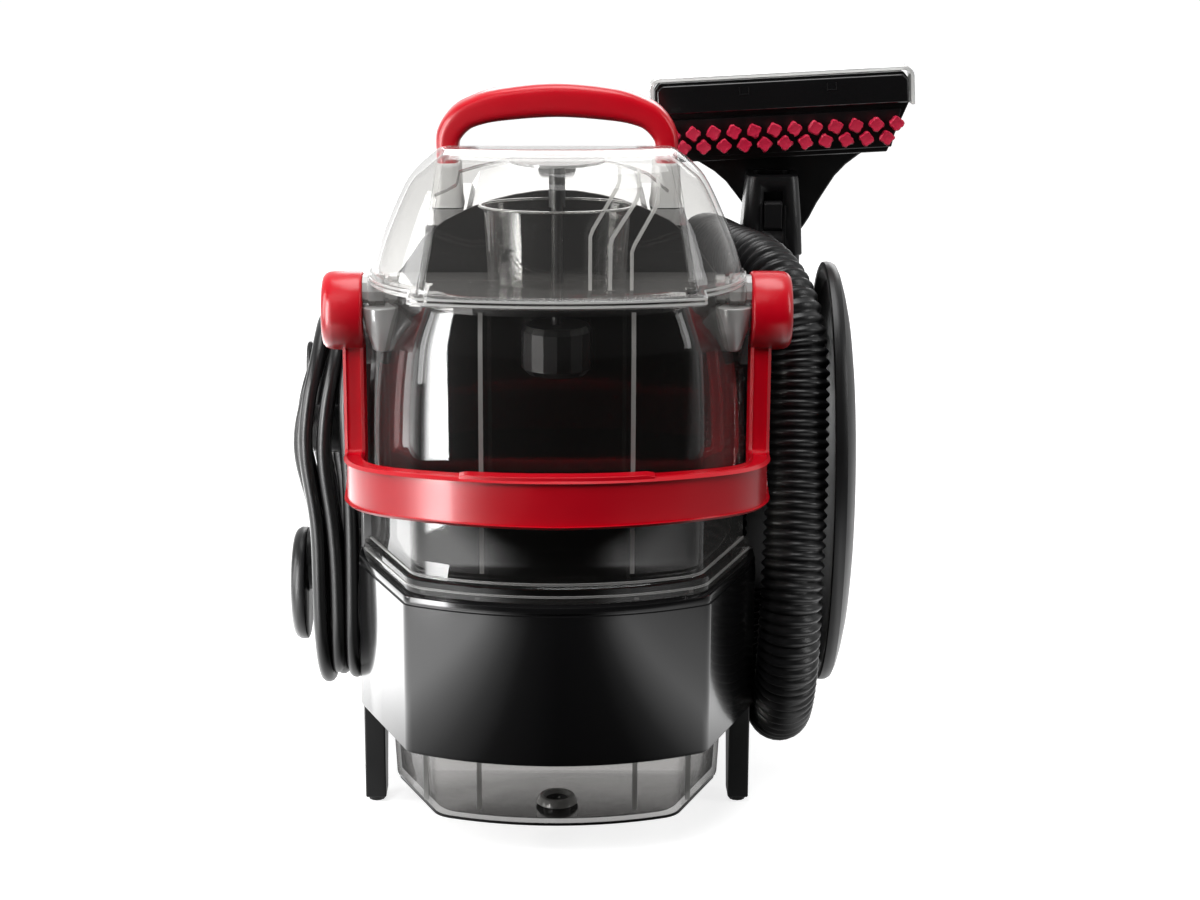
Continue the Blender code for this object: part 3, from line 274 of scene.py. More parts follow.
MATERIALS = {
    "gloss_black": plastic("gloss_black", (0.0058, 0.0057, 0.006), 0.16, 0.02, 500, 0.3),
    "satin_black": plastic("satin_black", (0.0055, 0.0055, 0.0058), 0.36, 0.16, 1500),
    "deep_black": plastic("deep_black", (0.0022, 0.0022, 0.0024), 0.34, 0.05, 900),
    "red": plastic("red_moulding", (0.47, 0.0004, 0.0085), 0.3, 0.05, 700, 0.12),
    "hose": plastic("hose_black", (0.005, 0.005, 0.0053), 0.36, 0.1, 1200),
    "rubber": plastic("black_rubber", (0.006, 0.006, 0.0062), 0.34, 0.14, 1600),
    "bristle": plastic("red_bristle", (0.46, 0.008, 0.04), 0.5, 0.9, 2600, 0, 0, (1, 0.06, 1)),
    "steel": plastic("bright_steel", (0.62, 0.62, 0.63), 0.22, 0.15, 900, 0, 1.0, (1, 1, 0.1)),
    "grey": plastic("grey_moulding", (0.2, 0.205, 0.21), 0.45, 0.2, 1300),
    "smoke": clear("smoke_clear", (0.87, 0.865, 0.86), 0.02, (0.1, 0.098, 0.095), 0.55),
    "lid_clear": clear("lid_clear", (0.955, 0.952, 0.945), 0.02, (0.34, 0.335, 0.33), 0.5),
    "pale": plastic("pale_moulding", (0.62, 0.62, 0.61), 0.4, 0.1, 1300),
    "boss_clear": clear("boss_clear", (0.66, 0.66, 0.65), 0.6, (0.55, 0.55, 0.54), 0.88),
    # A milky copy of the clear plastic for thin ribs and seams: its pale haze is a painted highlight, so
    # they show as light lines.
    "rib_highlight_clear": clear("rib_highlight_clear", (0.9, 0.9, 0.89), 0.45, (0.8, 0.8, 0.79), 0.6),
    # A paler copy of the clear plastic for beads, rims and thin edges: its grey haze is a painted highlight
    # along them.
    "edge_highlight_clear": clear("edge_highlight_clear", (0.75, 0.75, 0.74), 0.3, (0.5, 0.5, 0.49), 0.8),
    # A milky copy of the clear plastic for the tool's window rim: its pale haze is a painted highlight, the
    # bright band along the rim.
    "rim_highlight_clear": clear("rim_highlight_clear", (0.85, 0.85, 0.84), 0.5, (0.62, 0.62, 0.61), 0.85),
    "tank_clear": clear("tank_clear", (0.8, 0.795, 0.79), 0.1, (0.2, 0.2, 0.195), 0.6),
}


# --- mesh helpers


def rounded(obj, width, segments, degrees):
    """Rounds the edges that turn by more than the given angle."""
    bevel = obj.modifiers.new("bevel", "BEVEL")
    bevel.width, bevel.segments = width, segments
    bevel.limit_method, bevel.angle_limit = "ANGLE", math.radians(degrees)
    return bevel


def piece(name, mesh, material, body, slot=None, replaces=(), sharp=32, bevel=0.0, segments=2):
    """An object for the bmesh, riding on its CAD body."""
    bmesh.ops.recalc_face_normals(mesh, faces=mesh.faces)
    data = bpy.data.meshes.new(name)
    mesh.to_mesh(data)
    mesh.free()
    data.shade_smooth()
    data.set_sharp_from_angle(angle=math.radians(sharp))
    data.materials.append(MATERIALS[material])
    obj = bpy.data.objects.new(name, data)
    bpy.context.scene.collection.objects.link(obj)
    if bevel:
        rounded(obj, bevel, segments, sharp).harden_normals = True
    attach(obj, body)
    if replaces:
        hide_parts(*replaces)
    return obj


def merge(*meshes):
    """One bmesh that holds all of the given ones."""
    joined = bmesh.new()
    for mesh in meshes:
        data = bpy.data.meshes.new("merge")
        mesh.to_mesh(data)
        mesh.free()
        joined.from_mesh(data)
        bpy.data.meshes.remove(data)
    return joined


def loft(rings, closed=False):
    """A skin over rings of points, capped at its ends unless it closes on itself."""
    mesh = bmesh.new()
    rows = [[mesh.verts.new(point) for point in ring] for ring in rings]
    pairs = list(zip(rows, rows[1:]))
    if closed:
        pairs.append((rows[-1], rows[0]))
    for low, high in pairs:
        count = len(low)
        for i in range(count):
            j = (i + 1) % count
            mesh.faces.new((low[i], low[j], high[j], high[i]))
    if not closed:
        mesh.faces.new(rows[0][::-1])
        mesh.faces.new(rows[-1])
    return mesh


def box(low, high):
    mesh = bmesh.new()
    bmesh.ops.create_cube(mesh, size=1)
    low, high = Vector(low), Vector(high)
    bmesh.ops.scale(mesh, verts=mesh.verts, vec=high - low)
    bmesh.ops.translate(mesh, verts=mesh.verts, vec=(low + high) / 2)
    return mesh


def circle(centre, radius, axis, count, radius_2=None):
    """Points of a circle, or of an ellipse with radius_2 along its second direction."""
    ring = []
    for i in range(count):
        angle = 2 * math.pi * i / count
        a, b = radius * math.cos(angle), (radius_2 or radius) * math.sin(angle)
        offset = {"X": (0, a, b), "Y": (a, 0, b), "Z": (a, b, 0)}[axis]
        ring.append(Vector(centre) + Vector(offset))
    return ring


def turned(centre, axis, profile, count=48, closed=False):
    """A turned body: profile holds (distance along the axis, radius) pairs."""
    rings = []
    for distance, radius in profile:
        place = Vector(centre)
        place["XYZ".index(axis)] = distance
        rings.append(circle(place, radius, axis, count))
    return loft(rings, closed)


def rounded_rect(x_half, y_low, y_high, z, radius, x_mid=0.0):
    """A level rectangle with rounded corners, as points."""
    ring, steps = [], 8
    corners = (
        (x_mid + x_half - radius, y_high - radius, 0),
        (x_mid - x_half + radius, y_high - radius, 90),
        (x_mid - x_half + radius, y_low + radius, 180),
        (x_mid + x_half - radius, y_low + radius, 270),
    )
    for x, y, start in corners:
        for step in range(steps + 1):
            angle = math.radians(start + 90 * step / steps)
            ring.append(Vector((x + radius * math.cos(angle), y + radius * math.sin(angle), z)))
    return ring


def prism(outline, axis, low, high):
    """A flat outline drawn out along an axis from low to high."""
    ends = []
    for distance in (low, high):
        ring = []
        for a, b in outline:
            place = {"X": (distance, a, b), "Y": (a, distance, b), "Z": (a, b, distance)}[axis]
            ring.append(Vector(place))
        ends.append(ring)
    return loft(ends)


def mirrored(outline):
    """A half outline with its own image on the other side of x = 0."""
    return outline + [(-x, z) for x, z in reversed(outline) if x > 1e-6]


def smooth_rows(rows, per_span):
    """Catmull-Rom rows of numbers between the given ones, which it passes through."""
    rows = [tuple(row) for row in rows]
    first = tuple(2 * a - b for a, b in zip(rows[0], rows[1]))
    last = tuple(2 * a - b for a, b in zip(rows[-1], rows[-2]))
    padded = [first, *rows, last]
    found = []
    for before, start, end, after in zip(padded, padded[1:], padded[2:], padded[3:]):
        for step in range(per_span):
            t = step / per_span
            found.append(tuple(
                0.5 * (2 * s + (e - b) * t + (2 * b - 5 * s + 4 * e - a) * t**2
                       + (3 * s - b - 3 * e + a) * t**3)
                for b, s, e, a in zip(before, start, end, after)
            ))
    return found + [rows[-1]]


def smooth_path(points, per_span):
    return [Vector(row) for row in smooth_rows(points, per_span)]


def spaced(path, gap):
    """Points along the path at equal steps of about the given gap."""
    lengths = [0.0]
    for a, b in zip(path, path[1:]):
        lengths.append(lengths[-1] + (b - a).length)
    count = max(2, round(lengths[-1] / gap))
    found, k = [], 0
    for i in range(count + 1):
        target = lengths[-1] * i / count
        while k < len(path) - 2 and lengths[k + 1] < target:
            k += 1
        share = (target - lengths[k]) / (lengths[k + 1] - lengths[k])
        found.append(path[k].lerp(path[k + 1], share))
    return found


def tube_along(path, radii, sides):
    """A round body along the path, with one radius for each of its points."""
    rings = []
    side = (path[1] - path[0]).orthogonal().normalized()
    for i, point in enumerate(path):
        before, after = around(path, i)
        tangent = (after - before).normalized()
        side = (side - tangent * side.dot(tangent)).normalized()
        other = tangent.cross(side)
        rings.append([
            point + (side * math.cos(2 * math.pi * k / sides)
                     + other * math.sin(2 * math.pi * k / sides)) * radii[i]
            for k in range(sides)
        ])
    return loft(rings)


def squircle(thick, tall, power, sides):
    """Points of a rounded rectangle-like section as (u, v) pairs."""
    found = []
    for corner in range(sides):
        angle = 2 * math.pi * (corner + 0.5) / sides
        c, s = math.cos(angle), math.sin(angle)
        found.append((thick * math.copysign(abs(c) ** power, c),
                      tall * math.copysign(abs(s) ** power, s)))
    return found


def restyle(name, material, bevel=0.0):
    """Gives a CAD node its material and, where its shape is right, softer edges."""
    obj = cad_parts[name]
    obj.data.materials.clear()
    obj.data.materials.append(MATERIALS[material])
    if bevel:
        weld = obj.modifiers.new("weld", "WELD")
        weld.merge_threshold = 0.00002
        rounded(obj, bevel, 2, 40)


# --- cord and hose

HOSE_ROUTE = tenths([
    (860, -480, 2120), (860, -480, 1850), (860, -480, 1500), (862, -460, 1180), (865, -310, 870),
    (865, 0, 705), (865, 500, 690), (865, 1000, 710), (865, 1340, 880), (865, 1500, 1200),
    (865, 1520, 1700), (865, 1500, 2200), (865, 1340, 2580), (868, 1000, 2800), (880, 600, 2870),
    (960, 220, 2885), (1120, -150, 2860), (1230, -390, 2700), (1275, -490, 2450), (1275, -580, 2150),
    (1268, -690, 1800), (1250, -790, 1450), (1235, -840, 1120), (1230, -780, 800), (1225, -580, 520),
    (1225, -260, 400), (1225, 100, 440), (1225, 440, 620), (1225, 660, 900), (1225, 750, 1150),
    (1225, 750, 1390)
])
LEAD_ROUTE = tenths([
    (-880, 830, 1200), (-880, 900, 1198), (-880, 985, 1168), (-890, 1090, 1050), (-905, 1130, 900),
    (-930, 1085, 755), (-965, 970, 655), (-1005, 830, 620), (-1045, 680, 625), (-1080, 530, 670),
    (-1101, 440, 745), (-1107, 408, 786)
])
TAIL_ROUTE = tenths([
    (-1275, 440, 1550), (-1273, 465, 1670), (-1266, 530, 1770), (-1257, 625, 1833), (-1245, 740, 1850),
    (-1233, 855, 1833), (-1220, 950, 1770), (-1207, 1015, 1670), (-1201, 1040, 1550), (-1200, 1040, 1440)
])
LOOP = Vector((0, -0.01, 0.1565))
LOOP_HALF = 0.05625


def wound(turns, per_turn):
    """The coil's centre line: each turn is a stadium in its own column and layer."""
    columns = (-0.1113, -0.1194, -0.1275)
    layers = (0.045, 0.0375, 0.03)
    places = ((0, 0), (0, 1), (0, 2), (1, 2), (1, 1), (1, 0), (2, 2), (2, 1), (2, 0), (2, 0))
    order = [(columns[column], layers[layer]) for column, layer in places]
    points = []
    for turn in range(turns):
        phase = random.uniform(0, 2 * math.pi)
        wave = random.uniform(0.0006, 0.0016)
        for step in range(per_turn):
            t = step / per_turn
            blend = max(0.0, (t - 0.72) / 0.28)
            blend = blend * blend * (3 - 2 * blend)
            x = order[turn][0] + (order[turn + 1][0] - order[turn][0]) * blend
            radius = order[turn][1] + (order[turn + 1][1] - order[turn][1]) * blend
            straight, arc = 2 * LOOP_HALF, math.pi * radius
            s = t * (2 * straight + 2 * arc)
            if s < straight:
                y, z = radius, -LOOP_HALF + s
            elif s < straight + arc:
                angle = (s - straight) / radius
                y, z = radius * math.cos(angle), LOOP_HALF + radius * math.sin(angle)
            elif s < 2 * straight + arc:
                y, z = -radius, LOOP_HALF - (s - straight - arc)
            else:
                angle = math.pi + (s - 2 * straight - arc) / radius
                y, z = radius * math.cos(angle), -LOOP_HALF + radius * math.sin(angle)
            fade = math.sin(math.pi * t) ** 2
            x += wave * fade * math.sin(6 * math.pi * t + phase)
            y += 0.4 * wave * fade * math.sin(4 * math.pi * t + 2 * phase)
            out = (columns[0] - x) / (columns[0] - columns[2])
            x -= 0.0088 * out * math.exp(-(((LOOP.z + z - 0.197) / 0.034) ** 2))
            drawn_in = max(0.0, min(1.0, (LOOP.z + z - 0.226) / 0.03))
            x += (0.0018 + 0.0014 * out) * drawn_in
            points.append(Vector((x, LOOP.y + y, LOOP.z + z)))
    return points


def cord_curve(name, points, radius, material, body):
    data = bpy.data.curves.new(name, "CURVE")
    data.dimensions = "3D"
    data.bevel_depth = radius
    data.bevel_resolution = 4
    data.use_fill_caps = True
    spline = data.splines.new("POLY")
    spline.points.add(len(points) - 1)
    for slot, point in zip(spline.points, points):
        slot.co = (*point, 1)
    data.materials.append(MATERIALS[material])
    obj = bpy.data.objects.new(name, data)
    bpy.context.scene.collection.objects.link(obj)
    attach(obj, body)
    return obj


def power_cord():
    coil = wound(9, 72)
    into = [Vector((-0.1112, 0.0368, 0.0865))]
    leave = [Vector((-0.1275, 0.0352, 0.108)), Vector((-0.1275, 0.0372, 0.125)),
             Vector((-0.1275, 0.0405, 0.141))]
    rough = smooth_path(LEAD_ROUTE, 8) + into + coil + leave + smooth_path(TAIL_ROUTE, 8)
    path = spaced(smooth_path(spaced(rough, 0.01), 3), 0.0045)
    cord = cord_curve("power_cord", path, CORD_RADIUS, "rubber", "root")
    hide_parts("cord_lead", "cord_coil", "cord_tail")

    top = Vector(TAIL_ROUTE[-1])
    low = top.z - 0.0455
    profile = tenths([(0, 120), (6, 131), (22, 140), (125, 140), (150, 131), (185, 108), (220, 94)])
    profile = [(low + up, radius) for up, radius in profile]
    for ridge in range(5):
        z = low + 0.0235 + 0.004 * ridge
        radius = 0.0088 - 0.0006 * ridge
        profile += [(z + up, radius - less)
                    for up, less in ((0, 0), (0.0006, 0.0012), (0.002, 0.0012), (0.0026, 0.0002))]
    profile.append((top.z + 0.0006, 0.0052))
    body = turned(top, "Z", profile)
    for vert in body.verts:
        if vert.co.z < low + 0.022:
            vert.co.y = top.y + (vert.co.y - top.y) * 0.88
    plug = piece("plug_body", body, "rubber", "root", "rubber", ("mains_plug",))
    pins = []
    for side in (-1, 1):
        profile = [(low + up, radius)
                   for up, radius in tenths([(-180, 14), (-174, 21), (-160, 24), (15, 24)])]
        pins.append(turned(top + Vector((side * 0.008, 0, 0)), "Z", profile, 24))
    pins = piece("plug_pins", merge(*pins), "steel", "root", "steel", ("mains_plug",))


def corrugated_hose():
    """The suction hose, with a rib for each pitch of its length."""
    route = smooth_path(HOSE_ROUTE, 10)
    pitch, steps, depth = 0.0053, 6, 0.0021
    path = spaced(route, pitch / steps)
    radii = []
    for i in range(len(path)):
        wave = 0.5 + 0.5 * math.cos(2 * math.pi * i / steps)
        radii.append(HOSE_RADIUS - depth * (1 - wave**0.7))
    hose = piece("suction_hose", tube_along(path, radii, 28), "hose", "root", "hose_black",
                 ("hose",), sharp=80)
    return hose, route


# --- recovery tank


def faceted_front(half, front, fillet, fine=8, arc=8):
    """The x >= 0 half of a front: a flat side, a soft corner and an arc to the middle."""
    radius, corner = 0.16, 0.73 * half
    side = Vector((half, SIDE_START))

    def on_arc(x):
        return Vector((x, front + radius - math.sqrt(radius**2 - x**2)))

    edge, before = on_arc(corner), on_arc(corner).lerp(side, fillet)
    after = on_arc(corner * (1 - fillet))
    points = [side, side.lerp(before, 0.5)]
    for step in range(fine + 1):
        t = step / fine
        points.append(before.lerp(edge, t).lerp(edge.lerp(after, t), t))
    points += [on_arc(after.x * (1 - step / arc)) for step in range(1, arc + 1)]
    return [(p.x, p.y) for p in points]


def ring_of(half_outline, z):
    return [Vector((x, y, z)) for x, y in mirrored(half_outline)]


def tank_ring(z, half, front, rear=TANK_REAR):
    """A level ring of the recovery tank."""
    corner = 0.004
    back = [(0, rear), (half * 0.5, rear), (half - corner, rear)]
    for step in range(1, 4):
        angle = math.radians(30 * step)
        back.append((half - corner + corner * math.sin(angle), rear - corner + corner * math.cos(angle)))
    return ring_of(back + faceted_front(half, front, TANK_FILLET), z)


TANK_LOWER = tenths([
    (200, 820, -1450), (206, 836, -1466), (222, 852, -1482), (245, 860, -1490), (620, 880, -1520),
    (1463, 920, -1570)
])
TANK_LEDGE = tenths([
    (1463, 1004, -1659), (1469, 1010, -1665), (1538, 1010, -1665), (1545, 1003, -1658),
    (1552, 979, -1644)
])
TANK_UPPER = tenths([
    (1565, 975, -1640), (2000, 975, -1650), (2400, 965, -1650), (2700, 935, -1640), (2840, 885, -1610),
    (2930, 840, -1580)
])
TANK_INSIDE = tenths([
    (2930, 815, -1555), (2840, 860, -1585), (2700, 910, -1615), (2400, 940, -1625), (2000, 950, -1625),
    (1580, 950, -1615)
])
TANK_WELL = tenths([
    (1440, 893, -1545), (620, 855, -1495), (265, 835, -1465), (240, 815, -1445), (225, 795, -1425)
])


def wall_at(rows, x, z):
    """The y of a tank wall at x and z, on its front arc."""
    rows = sorted(rows)
    for low, high in zip(rows, rows[1:]):
        if low[0] <= z <= high[0] and high[0] > low[0]:
            share = (z - low[0]) / (high[0] - low[0])
            front = low[2] + (high[2] - low[2]) * share
            return front + 0.16 - math.sqrt(0.16**2 - x**2)
    return rows[-1][2]


def rib(x, rows, z_low, z_high, width, depth, steps=14):
    """An upright rib inside a tank wall."""
    rings = []
    for step in range(steps + 1):
        z = z_low + (z_high - z_low) * step / steps
        y = wall_at(rows, x, z) + 0.0002
        rings.append([Vector((x + side * width / 2, y + back, z))
                      for side, back in ((-1, 0), (1, 0), (1, depth), (-1, depth))])
    return loft(rings)


def around(path, i):
    """The points before and after place i, or the place itself at an end."""
    return path[max(i - 1, 0)], path[min(i + 1, len(path) - 1)]


def seam(path, heart, proud, tall):
    """A thin strip along a level path, standing proud of it on the side away from heart."""
    rings = []
    for i, place in enumerate(path):
        before, after = around(path, i)
        along = (after - before).normalized()
        away = Vector((along.y, -along.x, 0))
        if away.dot(place - heart) < 0:
            away = -away
        out, back, up = place + away * proud, place - away * SEAM_BURIED, Vector((0, 0, tall))
        rings.append([out + up, back + up, back - up, out - up])
    return loft(rings)


def bead(z, half, front, tall, proud):
    """A seam round the tank's front and sides at height z."""
    points = mirrored(faceted_front(half, front, TANK_FILLET))
    return seam([Vector((x, y, z)) for x, y in points], Vector((0, FLOAT_Y + 0.03, z)), proud, tall)


def recovery_tank():
    body = "recovery_tank_body"
    tank = (body, "smoke_clear", ("recovery_tank",))
    rings = [tank_ring(*row) for row in TANK_LOWER]
    rings += [tank_ring(*row, rear=TANK_REAR + 0.0008) for row in TANK_LEDGE]
    rings += [tank_ring(*row) for row in smooth_rows(TANK_UPPER, 5)]
    inner = TANK_REAR - 0.0025
    rings += [tank_ring(*row, rear=inner) for row in smooth_rows(TANK_INSIDE, 5)]
    rings += [tank_ring(*row, rear=inner) for row in TANK_WELL]
    piece("tank_shell", loft(rings), "smoke", *tank, 40)

    ribs = [rib(sign * 0.0372, TANK_INSIDE, 0.1595, 0.29, 0.0022, 0.0045) for sign in (-1, 1)]
    for x in (-0.068, -0.04, 0.04, 0.068):
        low = TANK_WELL[:3] if abs(x) < 0.05 else [(z, h, f + 0.0025) for z, h, f in TANK_WELL[:3]]
        ribs.append(rib(x, low, 0.027, 0.143, 0.0024, 0.005, 6))
    # The ribs' milky clear material is a painted highlight that draws them as light lines.
    piece("tank_ribs", merge(*ribs), "rib_highlight_clear", *tank)

    lugs = []
    for sign in (-1, 1):
        profile = tenths([
            (870, 118), (880, 130), (915, 135), (920, 120), (945, 120), (950, 135), (975, 135),
            (980, 130)
        ])
        lugs.append(turned(PIVOT, "X", [(sign * x, radius) for x, radius in profile]))
        gusset = tenths([(-110, 2790), (110, 2790), (50, 2520), (-50, 2520)])
        gusset = [(PIVOT.y + dy, z) for dy, z in gusset]
        low, high = sorted((sign * 0.0935, sign * 0.0972))
        lugs.append(prism(gusset, "X", low, high))
    piece("tank_lugs", merge(*lugs), "tank_clear", *tank)
    spools, cones = [], []
    for sign in (-1, 1):
        profile = tenths([
            (800, 60), (806, 72), (850, 74), (853, 64), (870, 64), (873, 78), (890, 82), (950, 82),
            (956, 74), (982, 74)
        ])
        profile = [(sign * x, radius) for x, radius in profile]
        spools.append(turned((0, -0.095, 0.291), "X", profile, 10))
        cone = tenths([(2600, 30), (2612, 44), (2720, 78), (2800, 92), (2826, 92), (2832, 84)])
        cones.append(turned((sign * 0.0893, -0.099, 0), "Z", cone, 32))
    piece("lug_spools", merge(*spools), "boss_clear", *tank, 20)
    piece("lug_cones", merge(*cones), "boss_clear", *tank)

    beads = []
    for z, half, front, tall in ((0.1503, 0.101, -0.1665, 0.0005), (0.156, 0.0977, -0.1642, 0.0006)):
        beads.append(bead(z, half, front, tall, 0.0005))
    # The beads' paler clear material is a painted highlight.
    piece("tank_beads", merge(*beads), "edge_highlight_clear", *tank)

    plug = tenths([
        (165, 88), (172, 95), (190, 110), (197, 110), (197, 66), (235, 66), (245, 56), (245, 30),
        (232, 22)
    ])
    piece("tank_plug", turned((0, -0.12, 0), "Z", plug), "rubber", body, "rubber", ("drain_plug",))
    boss = tenths([(226, 105), (229, 108), (258, 94), (264, 88), (264, 72), (226, 72)])
    piece("drain_boss", turned((0, -0.12, 0), "Z", boss, closed=True), "boss_clear", *tank)
    # A thin dark strip round the tank's bottom edge: painted shadow where the clear tank stands.
    piece("tank_shadow_line", bead(0.0212, 0.0841, -0.1471, 0.0006, 0.0004), "deep_black", *tank)


# --- lid


def front_curve(half, front, start, exponent, x_from, x_to, steps):
    """Points of a superellipse's front, from start at x = half to front at x = 0."""
    angles = [math.acos(min(1, (x / half) ** (exponent / 2))) for x in (x_from, x_to)]
    points = []
    for step in range(steps + 1):
        angle = angles[0] + (angles[1] - angles[0]) * step / steps
        x = half * math.cos(angle) ** (2 / exponent) if angle < math.pi / 2 - 1e-9 else 0.0
        y = start + (front - start) * math.sin(angle) ** (2 / exponent)
        points.append((x, y))
    return points


def lid_ring(z, half, dome_front, box_half, box_front, rear=TANK_REAR):
    """A level ring of the lid: a rounded dome with a flatter box standing out in front of it."""
    dome = front_curve(half, dome_front, SIDE_START, 2.3, half, box_half, 12)
    sag, soft = 0.01, 0.0016
    corner = Vector((box_half, box_front + sag))
    start, end = corner + Vector((0, soft)), corner + Vector((-soft, -sag * 2 * soft / box_half))
    bend = [start.lerp(corner, t).lerp(corner.lerp(end, t), t) for t in (0, 0.25, 0.5, 0.75, 1)]
    front = [(p.x, p.y) for p in bend]
    for step in range(7, -1, -1):
        share = step / 8
        front.append((box_half * share, box_front + sag * share**2))
    back = [(0, rear), (half * 0.5, rear), (half - 0.003, rear), (half - 0.0009, rear - 0.0009),
            (half, rear - 0.003)]
    return ring_of(back + dome + front, z)


LID_DOME = tenths([
    (3610, 575, -1120, 560, -1190), (3595, 610, -1160, 585, -1220), (3530, 690, -1210, 600, -1290),
    (3430, 770, -1270, 615, -1360), (3195, 878, -1380, 650, -1490), (3020, 937, -1445, 680, -1585)
])
LID_RIM = tenths([
    (2990, 940, -1450, 685, -1595), (2986, 955, -1536, 718, -1636), (2980, 957, -1542, 722, -1642),
    (2944, 957, -1542, 722, -1642), (2938, 953, -1538, 718, -1638)
])


def tank_lid():
    lid = ("lid_body", "clear", ("tank_lid",))
    drop = 0.0025
    rings = [lid_ring(*row) for row in smooth_rows(LID_DOME, 4)]
    rings += [lid_ring(*row) for row in LID_RIM]
    rings.append(lid_ring(0.2938, 0.0905, -0.141, 0.0665, -0.156, TANK_REAR - drop))
    inside = []
    for z, half, dome_front, box_half, box_front in reversed(LID_DOME):
        top = z - (drop if z > 0.35 else 0.0005)
        inside.append((top, half - drop, dome_front + drop, box_half - drop, box_front + drop))
    rings += [lid_ring(*row, rear=TANK_REAR - drop) for row in smooth_rows(inside, 4)]
    piece("lid_shell", loft(rings), "lid_clear", *lid, 40)

    # The dished disc under the lid's top, and the guide that the float's rod runs in
    disc = tenths([(3583, 238), (3570, 238), (3566, 222), (3574, 140), (3576, 34)])
    # The disc's paler clear material is a painted highlight.
    piece("lid_disc", turned((0, FLOAT_Y, 0), "Z", disc), "edge_highlight_clear", *lid)
    guide = tenths([(3345, 41), (3575, 41), (3575, 32), (3345, 32)])
    piece("float_guide", turned((0, FLOAT_Y, 0), "Z", guide, closed=True), "deep_black", *lid)

    seams = []
    for z in (0.2953, 0.2976):
        rim = [p for p in lid_ring(z, 0.0957, -0.1542, 0.0722, -0.1642) if p.y < SIDE_START + 0.0005]
        seams.append(seam(rim, Vector((0, -0.08, z)), 0.0007, 0.0005))
    # The seams' milky clear material is a painted highlight.
    piece("lid_seams", merge(*seams), "rib_highlight_clear", *lid)

    # The arched rib along the lid's rear wall, with its step on the left
    arch = tenths([
        (-620, 3372), (-560, 3398), (-513, 3424), (-505, 3440), (-493, 3493), (-400, 3520), (-218, 3561),
        (0, 3577), (180, 3563), (330, 3529), (460, 3482), (564, 3393)
    ])
    path = [Vector((x, -0.08, z - 0.0008)) for x, z in arch]
    rings = []
    for i, point in enumerate(path):
        before, after = around(path, i)
        tangent = (after - before).normalized()
        up = Vector((-tangent.z, 0, tangent.x))
        rings.append([point + up * side * 0.0006 + Vector((0, y, 0))
                      for side, y in ((1, 0.0014), (1, -0.002), (-1, -0.002), (-1, 0.0014))])
    piece("lid_arch", loft(rings), "tank_clear", *lid)


def lid_insides():
    body = "lid_body"
    ribs = []
    kinks = tenths([
        (163, 3253, 308, 3473, 3560), (262, 3215, 402, 3416, 3545), (368, 3177, 497, 3387, 3515)
    ])
    for x, low_kink, x_top, top_kink, top in kinks:
        path = [(x, 0.2966), (x, low_kink - 0.002), (x + 0.0012, low_kink + 0.0014),
                (x_top - 0.0012, top_kink - 0.0014), (x_top, top_kink + 0.002), (x_top, top)]
        rings = []
        for i, (px, pz) in enumerate(path):
            before, after = around(path, i)
            along = Vector((after[0] - before[0], 0, after[1] - before[1])).normalized()
            side = Vector((along.z, 0, -along.x)) * 0.0009
            y = -0.1285 + max(0, pz - 0.33) * 0.6
            rings.append([Vector((px, y + back, pz)) + side * way
                          for way, back in ((1, 0), (-1, 0), (-1, 0.0023), (1, 0.0023))])
        ribs.append(loft(rings))
    # The baffle ribs' milky clear material is a painted highlight.
    piece("baffle_ribs", merge(*ribs), "rib_highlight_clear", body, "clear", ("baffle_plate",), bevel=0.0002)
    rings = []
    for z, inset in tenths([(2940, 6), (2944, 0), (2961, 0), (2965, 6)]):
        rings.append(lid_ring(z, 0.086 - inset, -0.135 + inset, 0.064 - inset, -0.153 + inset,
                              TANK_REAR - 0.0035))
    piece("baffle_sheet", loft(rings), "lid_clear", body, "clear", ("baffle_plate",))

    def tower(name, rows, material):
        rings = [circle((0, FLOAT_Y, z), wide, "Z", 64, deep) for z, wide, deep in tenths(rows)]
        piece(name, loft(rings, closed=True), material, body, "clear", ("separator_tower",))

    tower("tower_wall", [
        (2970, 345, 230), (3325, 366, 230), (3346, 384, 230), (3350, 380, 226), (3350, 368, 214),
        (3325, 348, 212), (2970, 327, 212)
    ], "lid_clear")
    # The tower rim's paler clear material is a painted highlight.
    tower("tower_rim", [
        (3346, 390, 234), (3349, 394, 238), (3354, 394, 238), (3357, 390, 234), (3357, 378, 222),
        (3346, 378, 222)
    ], "edge_highlight_clear")
    restyle("lid_gasket", "rubber")
    restyle("shutoff_float", "deep_black")


# --- bail


BAIL_ARM, BAIL_FRONT, BAIL_Z = 0.10375, -0.1772, 0.1957
BAIL_THIN, BAIL_TALL, BAIL_RISE = 0.00525, 0.0118, 0.0062
BAIL_POWER = 2.1


